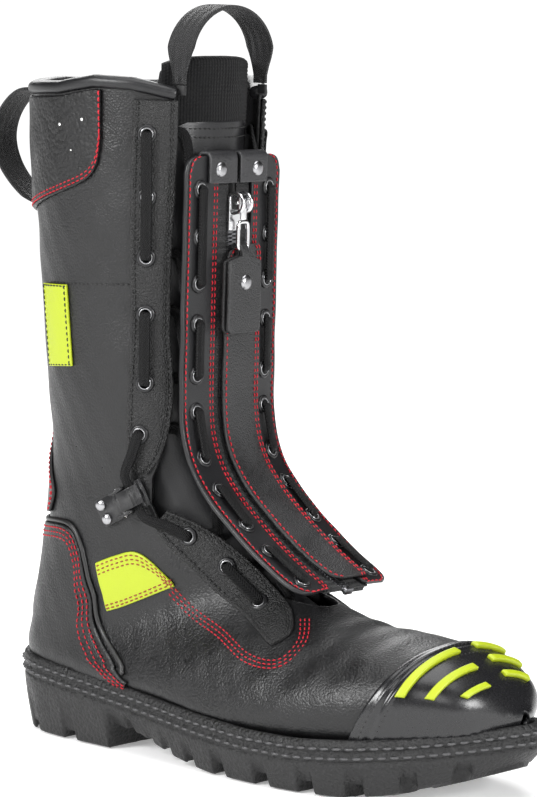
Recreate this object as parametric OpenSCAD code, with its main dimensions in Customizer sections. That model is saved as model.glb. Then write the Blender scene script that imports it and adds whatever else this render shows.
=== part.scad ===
// Laced and zipped structural fire boot, right foot, stood on its tread.
// X runs from heel to toe, Y to the inner side of the foot, Z up, in millimetres.
// The upper is one smooth surface, surf(u, v). v counts sections from the collar
// (0) over the ankle to the toe tip (14). u is the angle round a section: 0 at the
// front line, +90 on the outer side, -90 on the inner side, 180 at back and sole.
// Every leather, textile and foam piece is a patch of that surface, between two
// offsets along its normal, so that neighbours share their shape and a clearance.

/* [Leather] */
// thickness of the vamp and quarter leather
leather_t = 2.0; // [1.6:0.1:2.4]
// thickness of the pieces sewn on the outside
overlay_t = 1.7; // [1.2:0.1:2.2]
// gap between two layers
layer_gap = 0.4; // [0.3:0.05:0.6]
// thickness of the membrane lining
lining_t = 1.2; // [0.8:0.1:2.0]
// thickness of the tongue leather
tongue_t = 1.6; // [1.2:0.1:2.4]
// thickness of the tongue padding
tongue_pad_t = 5.5; // [3:0.5:8]

/* [Sole] */
// height of the tread grooves
lug_h = 6; // [4:0.5:8]
// height of the stitched rim above the tread part
rim_h = 11; // [8:0.5:14]
// how far the tread edge stands inside the rim edge
sole_taper = 6; // [3:0.5:9]
// gap between the upper and the sole cup
cup_gap = 0.6; // [0.2:0.05:0.8]

/* [Eyelets and laces] */
// inner radius of every eyelet
eyelet_r = 2.8; // [2.2:0.1:3.2]
// wall of the eyelet barrel
eyelet_wall = 0.4; // [0.3:0.05:0.6]
// outer radius of the eyelet flange
flange_r = 4.7; // [4:0.1:5.5]
// flange thickness
flange_t = 0.6; // [0.4:0.1:1]
// lace radius
lace_r = 1.4; // [1.4:0.1:2.2]

/* [Zip unit] */
// half width of the zip unit
zip_half_w = 36; // [32:0.5:40]
// distance of the eyelet rows from the zip
zip_row_w = 26; // [22:0.5:29]
// how far the outer edges bend back
zip_drop = 1.5; // [0.5:0.5:5]
// half width of the closed chain
chain_w = 2.6; // [2:0.1:3.4]
// height of the chain
chain_h = 2.2; // [1.6:0.1:3]
// tape thickness
tape_t = 1.0; // [0.8:0.1:1.4]
// strip leather thickness
strip_t = 1.8; // [1.4:0.1:2.4]
// height of the slider middle above the floor
slider_z = 271; // [266:1:273]
// running clearance of the slider
slider_gap = 0.3; // [0.2:0.05:0.5]
// radius of the puller pin
puller_pin_r = 0.9; // [0.7:0.1:1.2]
// radial clearance on small pins
pin_gap = 0.06; // [0.04:0.01:0.1]

/* [Loops] */
// webbing thickness
web_t = 2.0; // [1.5:0.1:3]
// width of the front loop
front_w = 17; // [14:1:22]
// half span of the front loop
front_span = 32; // [30:0.5:36]
// top of the front loop above the floor
front_top = 373; // [365:1:380]
// width of the rear loop
rear_w = 18; // [14:1:22]

/* [Lace lock] */
// width of the lock across its pin
lock_w = 14; // [12:0.5:18]
// lever pin radius
lock_pin_r = 1.2; // [1:0.1:1.6]

/* [Hidden] */
// origin under the middle of the bounding box
ORG = [133.4, 2];
BLACK = [0.13, 0.13, 0.13];
SMOOTH = [0.06, 0.06, 0.06];
YELLOW = [0.85, 0.88, 0.13];
METAL = [0.75, 0.75, 0.76];
CLOTH = [0.09, 0.09, 0.09];
RUBBER = [0.1, 0.1, 0.1];
FOAM = [0.2, 0.2, 0.2];
BOARD = [0.55, 0.5, 0.42];

// One row a section: front point x z, back point x z, outer half width, inner half
// width, middle y, place of the widest point, roundness of front and of back.
ST = [
  [121, 350, 3, 350, 54, 54, 0, 0.5, 2.15, 2.1], [120, 295, 5, 295, 52, 52, 0, 0.5, 2.15, 2.1],
      [119, 240, 9, 235, 48, 48, 0, 0.5, 2.15, 2.1],
  [119, 190, 14, 178, 44, 43, 0, 0.5, 2.15, 2.1], [124, 155, 16, 132, 40, 39, 0, 0.52, 2.15, 2.1],
      [136, 128, 11, 92, 38, 38, 0, 0.58, 2.1, 2.1],
  [152, 109, 6, 57.5, 37, 37, 0, 0.66, 2, 2.2], [170, 94, 15, 35, 37, 38, 1, 0.76, 1.9, 2.7],
      [192, 82, 100, 28, 46, 43, 2, 0.78, 1.9, 3.6],
  [216, 76, 160, 22, 52, 47.5, 3, 0.8, 1.95, 4], [242, 73, 212, 21, 52.5, 49, 6, 0.72, 2.1, 4],
      [266, 68, 250, 24, 45, 42, 9, 0.62, 2.3, 3.6],
  [285, 56, 278, 30, 31, 28, 12, 0.56, 2.4, 3], [293, 44, 290, 35, 12, 11, 14, 0.5, 2.2, 2.4],
      [296, 41.5, 295, 38.5, 1.2, 1.2, 14, 0.5, 2, 2]];
// half of the rim outline on the outer and on the inner side, from heel to toe
RIM_OUT = [
  [-1, 0], [0.3, -13], [8, -24.5], [22, -33.7], [43, -38.4], [70, -40.5],
  [98, -43.2], [126, -46.7], [152, -51], [178, -54], [204, -54], [226, -50.5],
  [247, -42], [266, -32], [282, -17.5], [294, -2.5], [301, 8], [303, 16]];
RIM_IN = [
  [-1, 0], [0.3, 13], [8, 24.5], [22, 35.8], [43, 40.5], [70, 42.5],
  [98, 45], [126, 48], [152, 51.5], [178, 55], [204, 57.8], [226, 58.2],
  [247, 56.5], [266, 52.5], [282, 45.5], [294, 35], [301, 24.5], [303, 16]];
// rim top, tread line and lowest tread, against x
RIM_Z = [
  [-10, 41], [20, 40], [60, 36.8], [100, 33], [140, 29], [180, 27],
  [210, 27], [240, 29], [265, 32], [285, 35], [305, 38.5]];
FLOOR_Z = [[-10, 1.5], [0, 0], [77, 0], [80, 13], [100, 10.5], [112, 6.8], [125, 3.4],
  [140, 1], [152, 0], [236, 0], [252, 2.2], [268, 6.5], [285, 12], [305, 20]];
// collar line: section number against the angle
COLLAR = [[0, .50], [36, .47], [60, .39], [80, .38], [100, .45], [140, .48], [180, .45]];
// front edge of the quarters: angle against section number
QFRONT = [[.4, 37], [1.3, 38], [1.84, 40], [2.49, 41], [3.02, 40], [3.52, 44], [3.94, 50],
  [4.3, 58], [4.7, 60], [5, 57], [5.3, 48], [5.6, 40], [5.9, 33]];
// eyelets of the facing: angle, section number
FEYE = [[51.5, .76], [51.5, 1.29], [52.5, 1.82], [53.5, 2.34], [55.5, 3.02], [61.5, 3.66],
  [44.6, 5.44], [33.6, 6.29], [32.6, 7.36]];
// path of the zip in front of the shin and down the instep: x, z
ZP = [[119, 299], [119, 277], [119, 255], [119, 233], [119, 211], [119, 190], [119.6, 172],
  [122.3, 158], [128.2, 145], [138.5, 132.5], [151, 121.5], [164.5, 111.2], [178.5, 102],
  [193, 94], [203, 89.5]];
// eyelets of the zip strips: place along the path
SEYE = [.75, 1.79, 2.83, 3.73, 4.93, 5.92, 7.6, 8.8, 10.22, 11.33, 12.8];
ZEND = 13.7;

function cr(a, b, c, d, t) = 0.5 * (2 * b + (c - a) * t + (2 * a - 5 * b + 4 * c - d) * t * t
  + (3 * b - a - 3 * c + d) * t * t * t);
function at(L, p) = let(n = len(L) - 1, i = max(0, min(floor(p), n - 1)), t = p - i)
  cr(L[max(i - 1, 0)], L[i], L[i + 1], L[min(i + 2, n)], t);
function row(v) = at(ST, v);
function surf_r(r, u) = let(c = cos(u), s = abs(sin(u)), n = c >= 0 ? r[8] : r[9],
  pc = pow(abs(c), 2 / n), ps = pow(s, 2 / n),
  t = c >= 0 ? r[7] * (1 - pc) : r[7] + (1 - r[7]) * pc, g = sin(u) > 0 ? -r[4] : r[5])
  [r[0] + (r[2] - r[0]) * t, r[6] + g * ps, r[1] + (r[3] - r[1]) * t];
function surf(u, v) = surf_r(row(v), u);
function unit(a) = a / max(norm(a), 1e-9);
function nrm(u, v) = let(h = v > 13.9 ? .05 : .02, v0 = max(v - h, 0), v1 = min(v + h, 14))
  unit(cross(surf(u + 1, v) - surf(u - 1, v), surf(u, v1) - surf(u, v0)));
function P(u, v, d) = surf(u, v) + d * nrm(u, v);
function vc(u) = let(a = abs(u) > 180 ? 360 - abs(u) : abs(u)) lookup(a, COLLAR);
function rim_z(x) = lookup(x, RIM_Z);
// angle at which section v meets the rim, side +1 outer, -1 inner
function edge_u(v, g, up, a = 60, b = 180, k = 0) = k > 11 ? (a + b) / 2 :
  let(m = (a + b) / 2, p = surf(g * m, v))
  p[2] > rim_z(p[0]) + up ? edge_u(v, g, up, m, b, k + 1) : edge_u(v, g, up, a, m, k + 1);

// point of a frame that stands on the surface, x round to the front, z outward
function surf_pt(u, v, d, turn, q) = let(n = nrm(u, v), e = surf(u - sign(u), v) - surf(u + sign(u), v),
  x = unit(e - (e * n) * n), y = cross(n, x), c = cos(turn), s = sin(turn))
  P(u, v, d) + (c * q[0] - s * q[1]) * x + (s * q[0] + c * q[1]) * y + q[2] * n;

// closed skin between offsets d0 and d1, over a grid of points f(s, t, d)
module skin(f, ns, nt, d0, d1) {
  n = (ns + 1) * (nt + 1);
  w = ns + 1;
  pts = concat([for (j = [0:nt], i = [0:ns]) f(i / ns, j / nt, d0)],
    [for (j = [0:nt], i = [0:ns]) f(i / ns, j / nt, d1)]);
  q = [for (j = [0:nt - 1], i = [0:ns - 1]) let(a = j * w + i) [a, a + 1, a + w + 1, a + w]];
  lower = [for (c = q) each [[c[0], c[2], c[1]], [c[0], c[3], c[2]]]];
  upper = [for (c = q) each [[c[0] + n, c[1] + n, c[2] + n], [c[0] + n, c[2] + n, c[3] + n]]];
  rim = concat([for (i = [0:ns - 1]) [i, i + 1]], [for (j = [0:nt - 1]) [j * w + ns, (j + 1) * w + ns]],
    [for (i = [ns:-1:1]) [nt * w + i, nt * w + i - 1]], [for (j = [nt:-1:1]) [j * w, (j - 1) * w]]);
  side = [for (e = rim) each [[e[0], e[1], e[1] + n], [e[0], e[1] + n, e[0] + n]]];
  fc = concat(lower, upper, side);
  c = f(.5, .5, d1) - f(.5, .5, d0);
  g = cross(f(.5 + .5 / ns, .5, d1) - f(.5, .5, d1), f(.5, .5 + .5 / nt, d1) - f(.5, .5, d1));
  out = g * c > 0;
  polyhedron(points = pts, faces = out ? [for (x = fc) [x[2], x[1], x[0]]] : fc, convexity = 8);
}

// patch bounded by rays, each row [u0, v0, u1, v1], g = 1 outer side, -1 inner side
module patch(rays, ns, nt, d0, d1, g = 1) {
  f = function(s, t, d) let(r = at(rays, t * (len(rays) - 1)), a = r[0] + (r[2] - r[0]) * s,
    b = r[1] + (r[3] - r[1]) * s) P(g * a, b, d);
  skin(f, ns, nt, d0, d1);
}

// closed tube of radius r through the points L
module tube(L, r, sides = 8, per = 2) {
  n = (len(L) - 1) * per;
  c = [for (i = [0:n]) at(L, i / per)];
  tan = [for (i = [0:n]) unit(c[min(i + 1, n)] - c[max(i - 1, 0)])];
  up = frames(tan, n);
  pts = [for (i = [0:n], k = [0:sides - 1]) let(a = 360 * k / sides, b = cross(tan[i], up[i]))
    c[i] + r * (cos(a) * up[i] + sin(a) * b)];
  fc = concat([[for (k = [0:sides - 1]) k]],
    [for (i = [0:n - 1], k = [0:sides - 1]) let(a = i * sides + k, b = i * sides + (k + 1) % sides)
      each [[a, a + sides, b + sides], [a, b + sides, b]]],
    [[for (k = [sides - 1:-1:0]) n * sides + k]]);
  polyhedron(points = pts, faces = fc, convexity = 10);
}
// frames carried along the curve without twist
function frames(tan, n) = let(a = abs(tan[0][2]) < .9 ? [0, 0, 1] : [1, 0, 0])
  carry(tan, n, 0, unit(cross(cross(tan[0], a), tan[0])), []);
function carry(tan, n, i, u, acc) = i > n ? acc :
  let(w = unit(u - (u * tan[i]) * tan[i])) carry(tan, n, i + 1, w, concat(acc, [w]));

// stands children on the surface: local z is the normal, local x runs round to the front
module on_surf(u, v, d, turn = 0) {
  n = nrm(u, v);
  e = surf(u - sign(u) * 1, v) - surf(u + sign(u) * 1, v);
  x = unit(e - (e * n) * n);
  y = cross(n, x);
  p = P(u, v, d);
  multmatrix([[x[0], y[0], n[0], p[0]], [x[1], y[1], n[1], p[1]], [x[2], y[2], n[2], p[2]], [0, 0, 0, 1]])
    rotate([0, 0, turn])
      children();
}

// zip unit: point at place q along the path, y across, d off the tape
function drop(y) = abs(y) < 13 ? 0 : zip_drop * pow((abs(y) - 13) / (zip_half_w - 13), 1.4);
function zdir(q) = unit(at(ZP, min(q + .05, 14)) - at(ZP, max(q - .05, 0)));
function Z(q, y, d) = let(c = at(ZP, q), t = zdir(q), n = [-t[1], t[0]], e = d - drop(y))
  [c[0] + n[0] * e, y, c[1] + n[1] * e];
// piece of the zip unit, rows [q, y0, y1] with their own place q at each end
module zpiece(rows, ns, nt, d0, d1) {
  f = function(s, t, d) let(r = at(rows, t * (len(rows) - 1))) Z(r[0], r[1] + (r[2] - r[1]) * s, d);
  skin(f, ns, nt, d0, d1);
}
module on_zip(q, y, d) {
  a = Z(q, y - .5, 0);
  b = Z(q, y + .5, 0);
  t3 = let(t = zdir(q)) [t[0], 0, t[1]];
  e = unit(b - a);
  n = unit(cross(t3, e));
  x = cross(e, n);
  p = Z(q, y, 0) + d * n;
  multmatrix([[x[0], e[0], n[0], p[0]], [x[1], e[1], n[1], p[1]], [x[2], e[2], n[2], p[2]], [0, 0, 0, 1]])
    children();
}
module placed() {
  translate([-ORG[0], -ORG[1], 0])
    children();
}

// ---- sole unit ----
ns_sole = 34;
function side_pt(L, i, inset) = let(q = at(L, i / ns_sole * 17), a = at(L, max(i / ns_sole * 17 - .1, 0)),
  b = at(L, min(i / ns_sole * 17 + .1, 17)), t = unit(b - a),
  m = i == 0 ? [1, 0] : i == ns_sole ? [-1, 0] : L == RIM_OUT ? [-t[1], t[0]] : [t[1], -t[0]]) q + inset * m;
// lofted body between two levels, each [inset, height function]
module loft(in0, z0, in1, z1) {
  n = ns_sole;
  ring = function(ins, zf) [for (i = [0:n]) let(p = side_pt(RIM_OUT, i, ins)) [p[0], p[1], zf(p[0])],
    for (i = [n - 1:-1:1]) let(p = side_pt(RIM_IN, i, ins)) [p[0], p[1], zf(p[0])]];
  m = 2 * n;
  pts = concat(ring(in0, z0), ring(in1, z1));
  cap = [[0, 1, m - 1], for (i = [1:n - 2]) each [[i, i + 1, m - i], [i + 1, m - i - 1, m - i]],
      [n - 1, n, n + 1]];
  fc = concat([for (c = cap) [c[0], c[1], c[2]]], [for (c = cap) [c[2] + m, c[1] + m, c[0] + m]],
    [for (i = [0:m - 1]) let(j = (i + 1) % m) each [[i, i + m, j + m], [i, j + m, j]]]);
  polyhedron(points = pts, faces = [for (x = fc) [x[2], x[1], x[0]]], convexity = 6);
}
module foot_last(d) {
  n = 30;
  vs = [for (i = [0:28]) 5 + 9 * i / 28];
  m = len(vs);
  pts = concat([for (v = vs, k = [0:n - 1]) P(360 * k / n, v, d)]);
  fc = concat([[for (k = [n - 1:-1:0]) k]], [for (i = [0:m - 2], k = [0:n - 1])
    let(a = i * n + k, b = i * n + (k + 1) % n) each [[a, b, b + n], [a, b + n, a + n]]],
    [[for (k = [0:n - 1]) (m - 1) * n + k]]);
  polyhedron(points = pts, faces = [for (x = fc) [for (q = [len(x) - 1:-1:0]) x[q]]], convexity = 8);
}
// trapezoid groove across the tread at x, running through the whole width
module groove(x, w, h, lean = 0) {
  translate([x, 0, 0])
    rotate([90, 0, lean])
      linear_extrude(160, center = true)
        polygon([[-w / 2 - 1.5, -1], [w / 2 + 1.5, -1], [w / 2 - 1, h], [-w / 2 + 1, h]]);
}
module outsole() {
  color(RUBBER)
    placed()
      difference() {
        loft(sole_taper, function(x) lookup(x, FLOOR_Z), 1, function(x) rim_z(x) - rim_h);
        groove(8, 6, lug_h);
        groove(25, 7, lug_h);
        groove(43, 7, lug_h);
        groove(60, 7, lug_h);
        groove(93, 4, 15);
        groove(107, 4, 10);
        groove(120, 5, 8);
        groove(137, 6, lug_h);
        groove(159, 7, lug_h);
        groove(188, 8, lug_h);
        groove(215, 8, lug_h);
        groove(240, 8, lug_h + 1);
        groove(264, 7, lug_h + 6);
        groove(284, 6, lug_h + 11);
        translate([-20, 11, -1])
          cube([97, 6, lug_h]);
        translate([-20, -17, -1])
          cube([97, 6, lug_h]);
        translate([148, 15, -1])
          cube([170, 6, lug_h]);
        translate([148, -17, -1])
          cube([118, 6, lug_h]);
      }
}
module midsole() {
  color(RUBBER)
    placed()
      difference() {
        loft(.4, function(x) rim_z(x) - rim_h + .02, 1.2, function(x) rim_z(x));
        foot_last(cup_gap);
      }
}

// ---- bottom layers inside the upper ----
module bottom_layer(d0, d1, a, v0, v1) {
  patch([for (q = [[1, v0], [1.03, v0 + .25], [1.06, v0 + .6], [1.1, (v0 + v1) / 2], [1, v1 - .8], [.6, v1]])
    [180 - a * q[0], q[1], 180 + a * q[0], q[1]]], 6, 15, d0, d1);
}
module shank() {
  color(METAL)
    placed()
      bottom_layer(-1.6, -.6, 13, 7.3, 8.9);
}
module puncture_plate() {
  color(BOARD)
    placed()
      bottom_layer(-3.4, -2.8, 29, 7, 12.2);
}
module insole_board() {
  color(BOARD)
    placed()
      bottom_layer(-4.9, -3.9, 38, 7.02, 12.3);
}
module footbed() {
  color(CLOTH)
    placed()
      bottom_layer(-12, -7.9, 38, 7.04, 12.2);
}

// ---- upper, inner layers ----
IN1 = -leather_t - layer_gap;
LIN = -5.4;
function lining_a(v) = lookup(v, [[0, 66], [5, 66], [7, 58], [8, 44], [8.6, 24], [9, 1]]);
module lining_shaft() {
  color(CLOTH)
    placed()
      skin(function(s, t, d) let(v = .5 + 5.3 * t, a = lining_a(v), u = a + (360 - 2 * a) * s) P(u,
          max(v, vc(u) + .04), d),
        20, 10, LIN - lining_t, LIN);
}
module lining_foot() {
  color(CLOTH)
    placed()
      skin(function(s, t, d) let(v = 5.84 + 7.7 * pow(t, 1.25), a = lining_a(v),
          u = a + (360 - 2 * a) * s) P(u, v, d),
        22, 16, LIN - lining_t, LIN);
}
module collar_padding() {
  color(FOAM)
    placed()
      skin(function(s, t, d) let(u = 70 + 220 * s) P(u, vc(u) + .05 + 1.5 * t, d), 20, 4,
          LIN + layer_gap, IN1);
}
module toe_cap() {
  color(METAL)
    placed()
      skin(function(s, t, d) let(v = 11.2 + 2.5 * t) P(-112 + 224 * s, v, d), 14, 7, IN1 - 2.5, IN1 - .9);
}
module heel_stiffener() {
  color(BOARD)
    placed()
      patch([[96, 6.6, 264, 6.6], [90, 6.2, 270, 6.2], [96, 5.7, 264, 5.7], [112, 5.2, 248, 5.2],
        [130, 4.9, 230, 4.9]], 16, 8, IN1 - 2.4, IN1 - .5);
}

// ---- upper, outer leather ----
module eyelet_holes(list, g) {
  for (e = list)
    on_surf(g * e[0], e[1], -6)
      cylinder(h = 14, r = eyelet_r + eyelet_wall + .3, $fn = 32);
}
module quarter(g) {
  difference() {
    skin(function(s, t, d) let(w = .42 + 5.46 * t, a = lookup(w, QFRONT), u = a + (179.5 - a) * s,
      v = vc(u) + (5.88 - vc(u)) * t) P(g * u, v, d), 13, 18, -leather_t, 0);
    eyelet_holes([for (k = [0:6]) FEYE[k]], g);
  }
}
module quarter_lateral() {
  color(BLACK)
    placed()
      quarter(1);
}
module quarter_medial() {
  color(BLACK)
    placed()
      quarter(-1);
}
// half of the vamp as rays from the throat to the feather edge
VAMP = [[44, 5.92, 150, 5.92], [30, 6.08, 150, 6.5], [25, 6.4, 150, 7.1], [23.5, 6.85, 150, 7.8],
  [22.5, 7.25, 150, 8.6], [20, 7.5, 150, 9.4], [16, 7.68, 150, 10.2], [12, 7.8, 148, 11],
  [8, 7.86, 145, 11.8], [5, 7.89, 138, 12.5], [2.5, 7.9, 118, 13.1], [1.6, 7.9, 96, 13.42],
  [.9, 7.9, 66, 13.62], [.4, 7.9, 34, 13.75]];
module vamp() {
  rays = concat(VAMP, [[0, 7.9, 0, 13.8]], [for (i = [len(VAMP) - 1:-1:0]) let(r = VAMP[i]) [-r[0], r[1],
      -r[2], r[3]]]);
  color(BLACK)
    placed()
      difference() {
        patch(rays, 11, 32, -leather_t, 0);
        eyelet_holes([FEYE[7], FEYE[8]], 1);
        eyelet_holes([FEYE[7], FEYE[8]], -1);
      }
}
OV0 = layer_gap;
OV1 = layer_gap + overlay_t;
COUNTER = [[103, 7.77], [92, 7.58], [84, 7.3], [80, 6.9], [82.5, 6.3], [86.8, 5.8], [94, 5.2],
    [109, 4.78], [150, 4.64]];
module heel_counter() {
  half = [for (i = [0:8]) let(v = 7.8 - i * .13) [COUNTER[i][0], COUNTER[i][1], edge_u(v, 1, 1.7), v]];
  half_in = [for (i = [8:-1:0]) let(v = 7.8 - i * .13) [360 - COUNTER[i][0], COUNTER[i][1],
      360 - edge_u(v, -1, 1.7), v]];
  color(BLACK)
    placed()
      patch(concat(half, [[166, 4.62, 166, 6.6], [180, 4.62, 180, 6.58], [194, 4.62, 194, 6.6]], half_in),
        5, 36, OV0 + .6, OV1 + .4);
}
module back_stay() {
  color(BLACK)
    placed()
      patch([[172, 1.62, 188, 1.62], [171, 2.4, 189, 2.4], [168, 3.1, 192, 3.1], [158, 3.6, 202, 3.6],
          [142, 3.92, 218, 3.92],
        [128, 4.25, 232, 4.25], [132, 4.52, 228, 4.52]], 10, 10, OV0, OV1);
}
CUFF = [[76, .8], [77, .95], [79, 1.06], [84, 1.16], [96, 1.26], [115, 1.36], [135, 1.44], [158, 1.5]];
module collar_cuff() {
  top = [76, 79, 83, 89, 99, 116, 136, 158];
  h1 = [for (i = [0:7]) [top[i], vc(top[i]) + .05, CUFF[i][0], CUFF[i][1]]];
  h2 = [for (i = [7:-1:0]) [360 - h1[i][0], h1[i][1], 360 - h1[i][2], h1[i][3]]];
  color(BLACK)
    placed()
      patch(concat(h1, [[180, vc(180) + .05, 180, 1.52]], h2), 4, 26, OV0, OV1);
}
module collar_binding() {
  color(CLOTH)
    placed()
      skin(function(s, t, d) let(u = 37 + 286 * s) P(u, vc(u) - .008, d) + [0, 0, t * 3.2], 40, 2,
          LIN - .6, OV1 - .2);
}
FACING = [[58.5, .5, 35.6, .5], [59.5, .9, 35.8, .9], [60.5, 1.32, 36.6, 1.32], [61.5, 1.84, 38.6, 1.84],
  [62.5, 2.49, 39.6, 2.49], [65.5, 3.0, 38.6, 3.02], [67.5, 3.35, 41, 3.4], [69.5, 3.69, 45.5, 3.75],
  [69, 3.95, 52, 4.05], [68, 4.17, 60, 4.25]];
FLOW = [[59.5, 5.1, 52, 4.88], [56, 5.4, 40, 5.2], [50.5, 5.79, 31, 5.6], [46, 6.2, 25, 6.1],
    [43, 6.6, 22, 6.6],
  [41, 7.1, 22, 7.1], [41.5, 7.5, 24, 7.6], [44, 7.85, 29, 7.95], [47, 8.2, 36, 8.25],
      [47.5, 8.34, 44, 8.36]];
module facing(rays, list, g, nt) {
  difference() {
    patch(rays, 4, nt, OV0, OV1, g);
    eyelet_holes(list, g);
  }
}
module facing_upper_lateral() {
  color(BLACK)
    placed()
      facing(FACING, [for (k = [0:5]) FEYE[k]], 1, 27);
}
module facing_upper_medial() {
  color(BLACK)
    placed()
      facing(FACING, [for (k = [0:5]) FEYE[k]], -1, 27);
}
module facing_lower_lateral() {
  color(BLACK)
    placed()
      facing(FLOW, [for (k = [6:8]) FEYE[k]], 1, 22);
}
module facing_lower_medial() {
  color(BLACK)
    placed()
      facing(FLOW, [for (k = [6:8]) FEYE[k]], -1, 22);
}
PATCH = [[84.5, 5.5, 76.5, 6.52], [77, 5.46, 71.5, 6.52], [68.5, 5.48, 65, 6.48], [61.5, 5.76, 58.5, 6.43],
    [55, 6.28, 54.2, 6.4]];
module ankle_patch_lateral() {
  color(YELLOW)
    placed()
      patch(PATCH, 6, 8, OV0, OV0 + .9);
}
module ankle_patch_medial() {
  color(YELLOW)
    placed()
      patch(PATCH, 6, 8, OV0, OV0 + .9, -1);
}
SHAFT_PATCH = [[100, 2.08, 125, 2.08], [100, 2.45, 125, 2.45], [100, 2.82, 125, 2.82]];
module shaft_patches() {
  color(YELLOW)
    placed() {
      patch(SHAFT_PATCH, 6, 6, OV0, OV0 + 1.2);
      patch(SHAFT_PATCH, 6, 6, OV0, OV0 + 1.2, -1);
    }
}
module toe_bumper() {
  f = function(s, t, d) let(g = s < .5 ? 1 : -1, v1 = 13.85, v0 = 10.6 + .15 * pow(abs(2 * s - 1), 2) * -1,
    v = v0 + (v1 - v0) * pow(t, .85), up = 2.2 + 1.6 * min(1, max(0, (v - 12.4) / .9)),
    w = min(edge_u(v, g, up), 150)) P(w * (1 - 2 * s), v, d);
  color(SMOOTH)
    placed()
      skin(f, 18, 9, OV0 + .2, OV1 + .5);
}
// raised bars: [u0, v0, u1, v1], half width in sections
BARS = [[71, 10.98, 10, 11.0], [69, 11.42, 14, 11.5], [56, 11.9, 24, 12.0], [-5, 10.95, -30, 11.14],
  [-3, 11.4, -36, 11.56], [-1, 11.85, -32, 12.02]];
module toe_bars() {
  color(YELLOW)
    placed()
      for (b = BARS)
        patch([[b[0], b[1] - .09, b[2], b[3] - .09], [b[0], b[1] + .09, b[2], b[3] + .09]], 7, 1,
            OV1 + .8, OV1 + 2.6);
}

// ---- tongue ----
TG = -7.6;
module tongue_leather() {
  color(BLACK)
    placed()
      skin(function(s, t, d) let(v = .66 + 6.9 * t, a = lookup(v, [[0, 56], [5, 54], [7, 40],
          [7.8, 26]])) P(a * (1 - 2 * s), v, d),
        8, 18, TG - tongue_t, TG);
}
module tongue_padding() {
  color(CLOTH)
    placed()
      skin(function(s, t, d) let(v0 = .1 + .12 * pow(abs(2 * s - 1), 3), v = v0 + (7.2 - v0) * t,
        a = lookup(v, [[0, 44], [.6, 52], [5, 50], [7, 36], [7.8, 24]])) P(a * (1 - 2 * s), v, d),
        8, 15, TG - tongue_t - layer_gap - tongue_pad_t, TG - tongue_t - layer_gap);
}

// ---- zip unit ----
module zip_tape(g) {
  zpiece([for (i = [0:27]) [.15 + (ZEND - .45) * i / 27, g * (chain_w + .3), g * 17]], 2, 30,
      -tape_t / 2, tape_t / 2);
}
module zip_tape_lateral() {
  color(CLOTH)
    placed()
      zip_tape(-1);
}
module zip_tape_medial() {
  color(CLOTH)
    placed()
      zip_tape(1);
}
module zip_teeth(g) {
  zpiece([for (i = [0:23]) [.95 + (ZEND - 1.35) * i / 23, g * .75, g * chain_w]], 1, 36, -chain_h / 2,
      chain_h / 2);
}
module teeth_lateral() {
  color(METAL)
    placed()
      zip_teeth(-1);
}
module teeth_medial() {
  color(METAL)
    placed()
      zip_teeth(1);
}
module bottom_stop() {
  color(METAL)
    placed()
      zpiece([[ZEND - .24, -2.8, 2.8], [ZEND - .1, -2.8, 2.8]], 2, 2, -1.6, 1.6);
}
SD0 = tape_t / 2 + layer_gap;
SD1 = SD0 + strip_t;
STRIP = [[0, 20, 31], [.12, 13, 35], [.5, 12.5, 36], [2, 12.5, 36], [4, 12.5, 36], [6, 12.5, 36],
    [8, 12.5, 36], [10, 12.5, 36],
  [11.5, 12.5, 36], [12.4, 12.6, 36], [13, 13.4, 35], [13.3, 16, 31.5]];
module strip(g) {
  difference() {
    zpiece([for (r = STRIP) [r[0], g * r[1], g * r[2]]], 3, 36, SD0, SD1);
    for (q = SEYE)
      on_zip(q, g * zip_row_w, -3)
        cylinder(h = 9, r = eyelet_r + eyelet_wall + .3, $fn = 32);
  }
}
module zip_strip_lateral() {
  color(BLACK)
    placed()
      strip(-1);
}
module zip_strip_medial() {
  color(BLACK)
    placed()
      strip(1);
}
module zip_cover_flap() {
  rows = [[2.0, 4, 18], [2.12, -4, 19.4], [2.4, -7.4, 20], [3, -8, 20], [5, -8, 20], [7, -8, 20],
      [9, -8, 20], [11, -8, 20],
    [12.3, -7.6, 20], [12.9, -5, 19.6], [13.1, 2, 18.6]];
  color(BLACK)
    placed()
      zpiece(rows, 3, 30, SD1 + layer_gap, SD1 + layer_gap + 1.4);
}
module hook_loop_patch() {
  color(CLOTH)
    placed()
      zpiece([[12.0, 4, 19], [13.2, 4, 19]], 3, 5, -4.6, -tape_t / 2 - layer_gap);
}
ZX = ZP[0][0];
module keeper(g) {
  difference() {
    translate([ZX - 3.4, g > 0 ? 1.2 : -22, 285.5])
      cube([SD1 + 5.2, 20.8, 15.3]);
    translate([ZX - 2.3, g > 0 ? 0 : -24, 275])
      cube([SD1 + 2.8, 24, 24.4]);
    translate([ZX - 8, g * 14, 292])
      rotate([0, 90, 0])
        cylinder(h = 20, r = 1.55, $fn = 24);
  }
}
module keepers() {
  color(BLACK)
    placed() {
      keeper(-1);
      keeper(1);
    }
}
module dome(r, h) {
  rotate_extrude($fn = 32)
    polygon([[0, 0], [r, 0], [r, h * .25], [r * .86, h * .62], [r * .6, h * .88], [r * .3, h * .98], [0, h]]);
}
module keeper_rivets() {
  color(METAL)
    placed()
      for (g = [-1, 1])
        translate([ZX + SD1 + 1.82, g * 14, 292])
          rotate([0, 90, 0]) {
            dome(3.7, 1.5);
            translate([0, 0, -1.35])
              cylinder(h = 1.4, r = 1.5, $fn = 24);
          }
}

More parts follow.
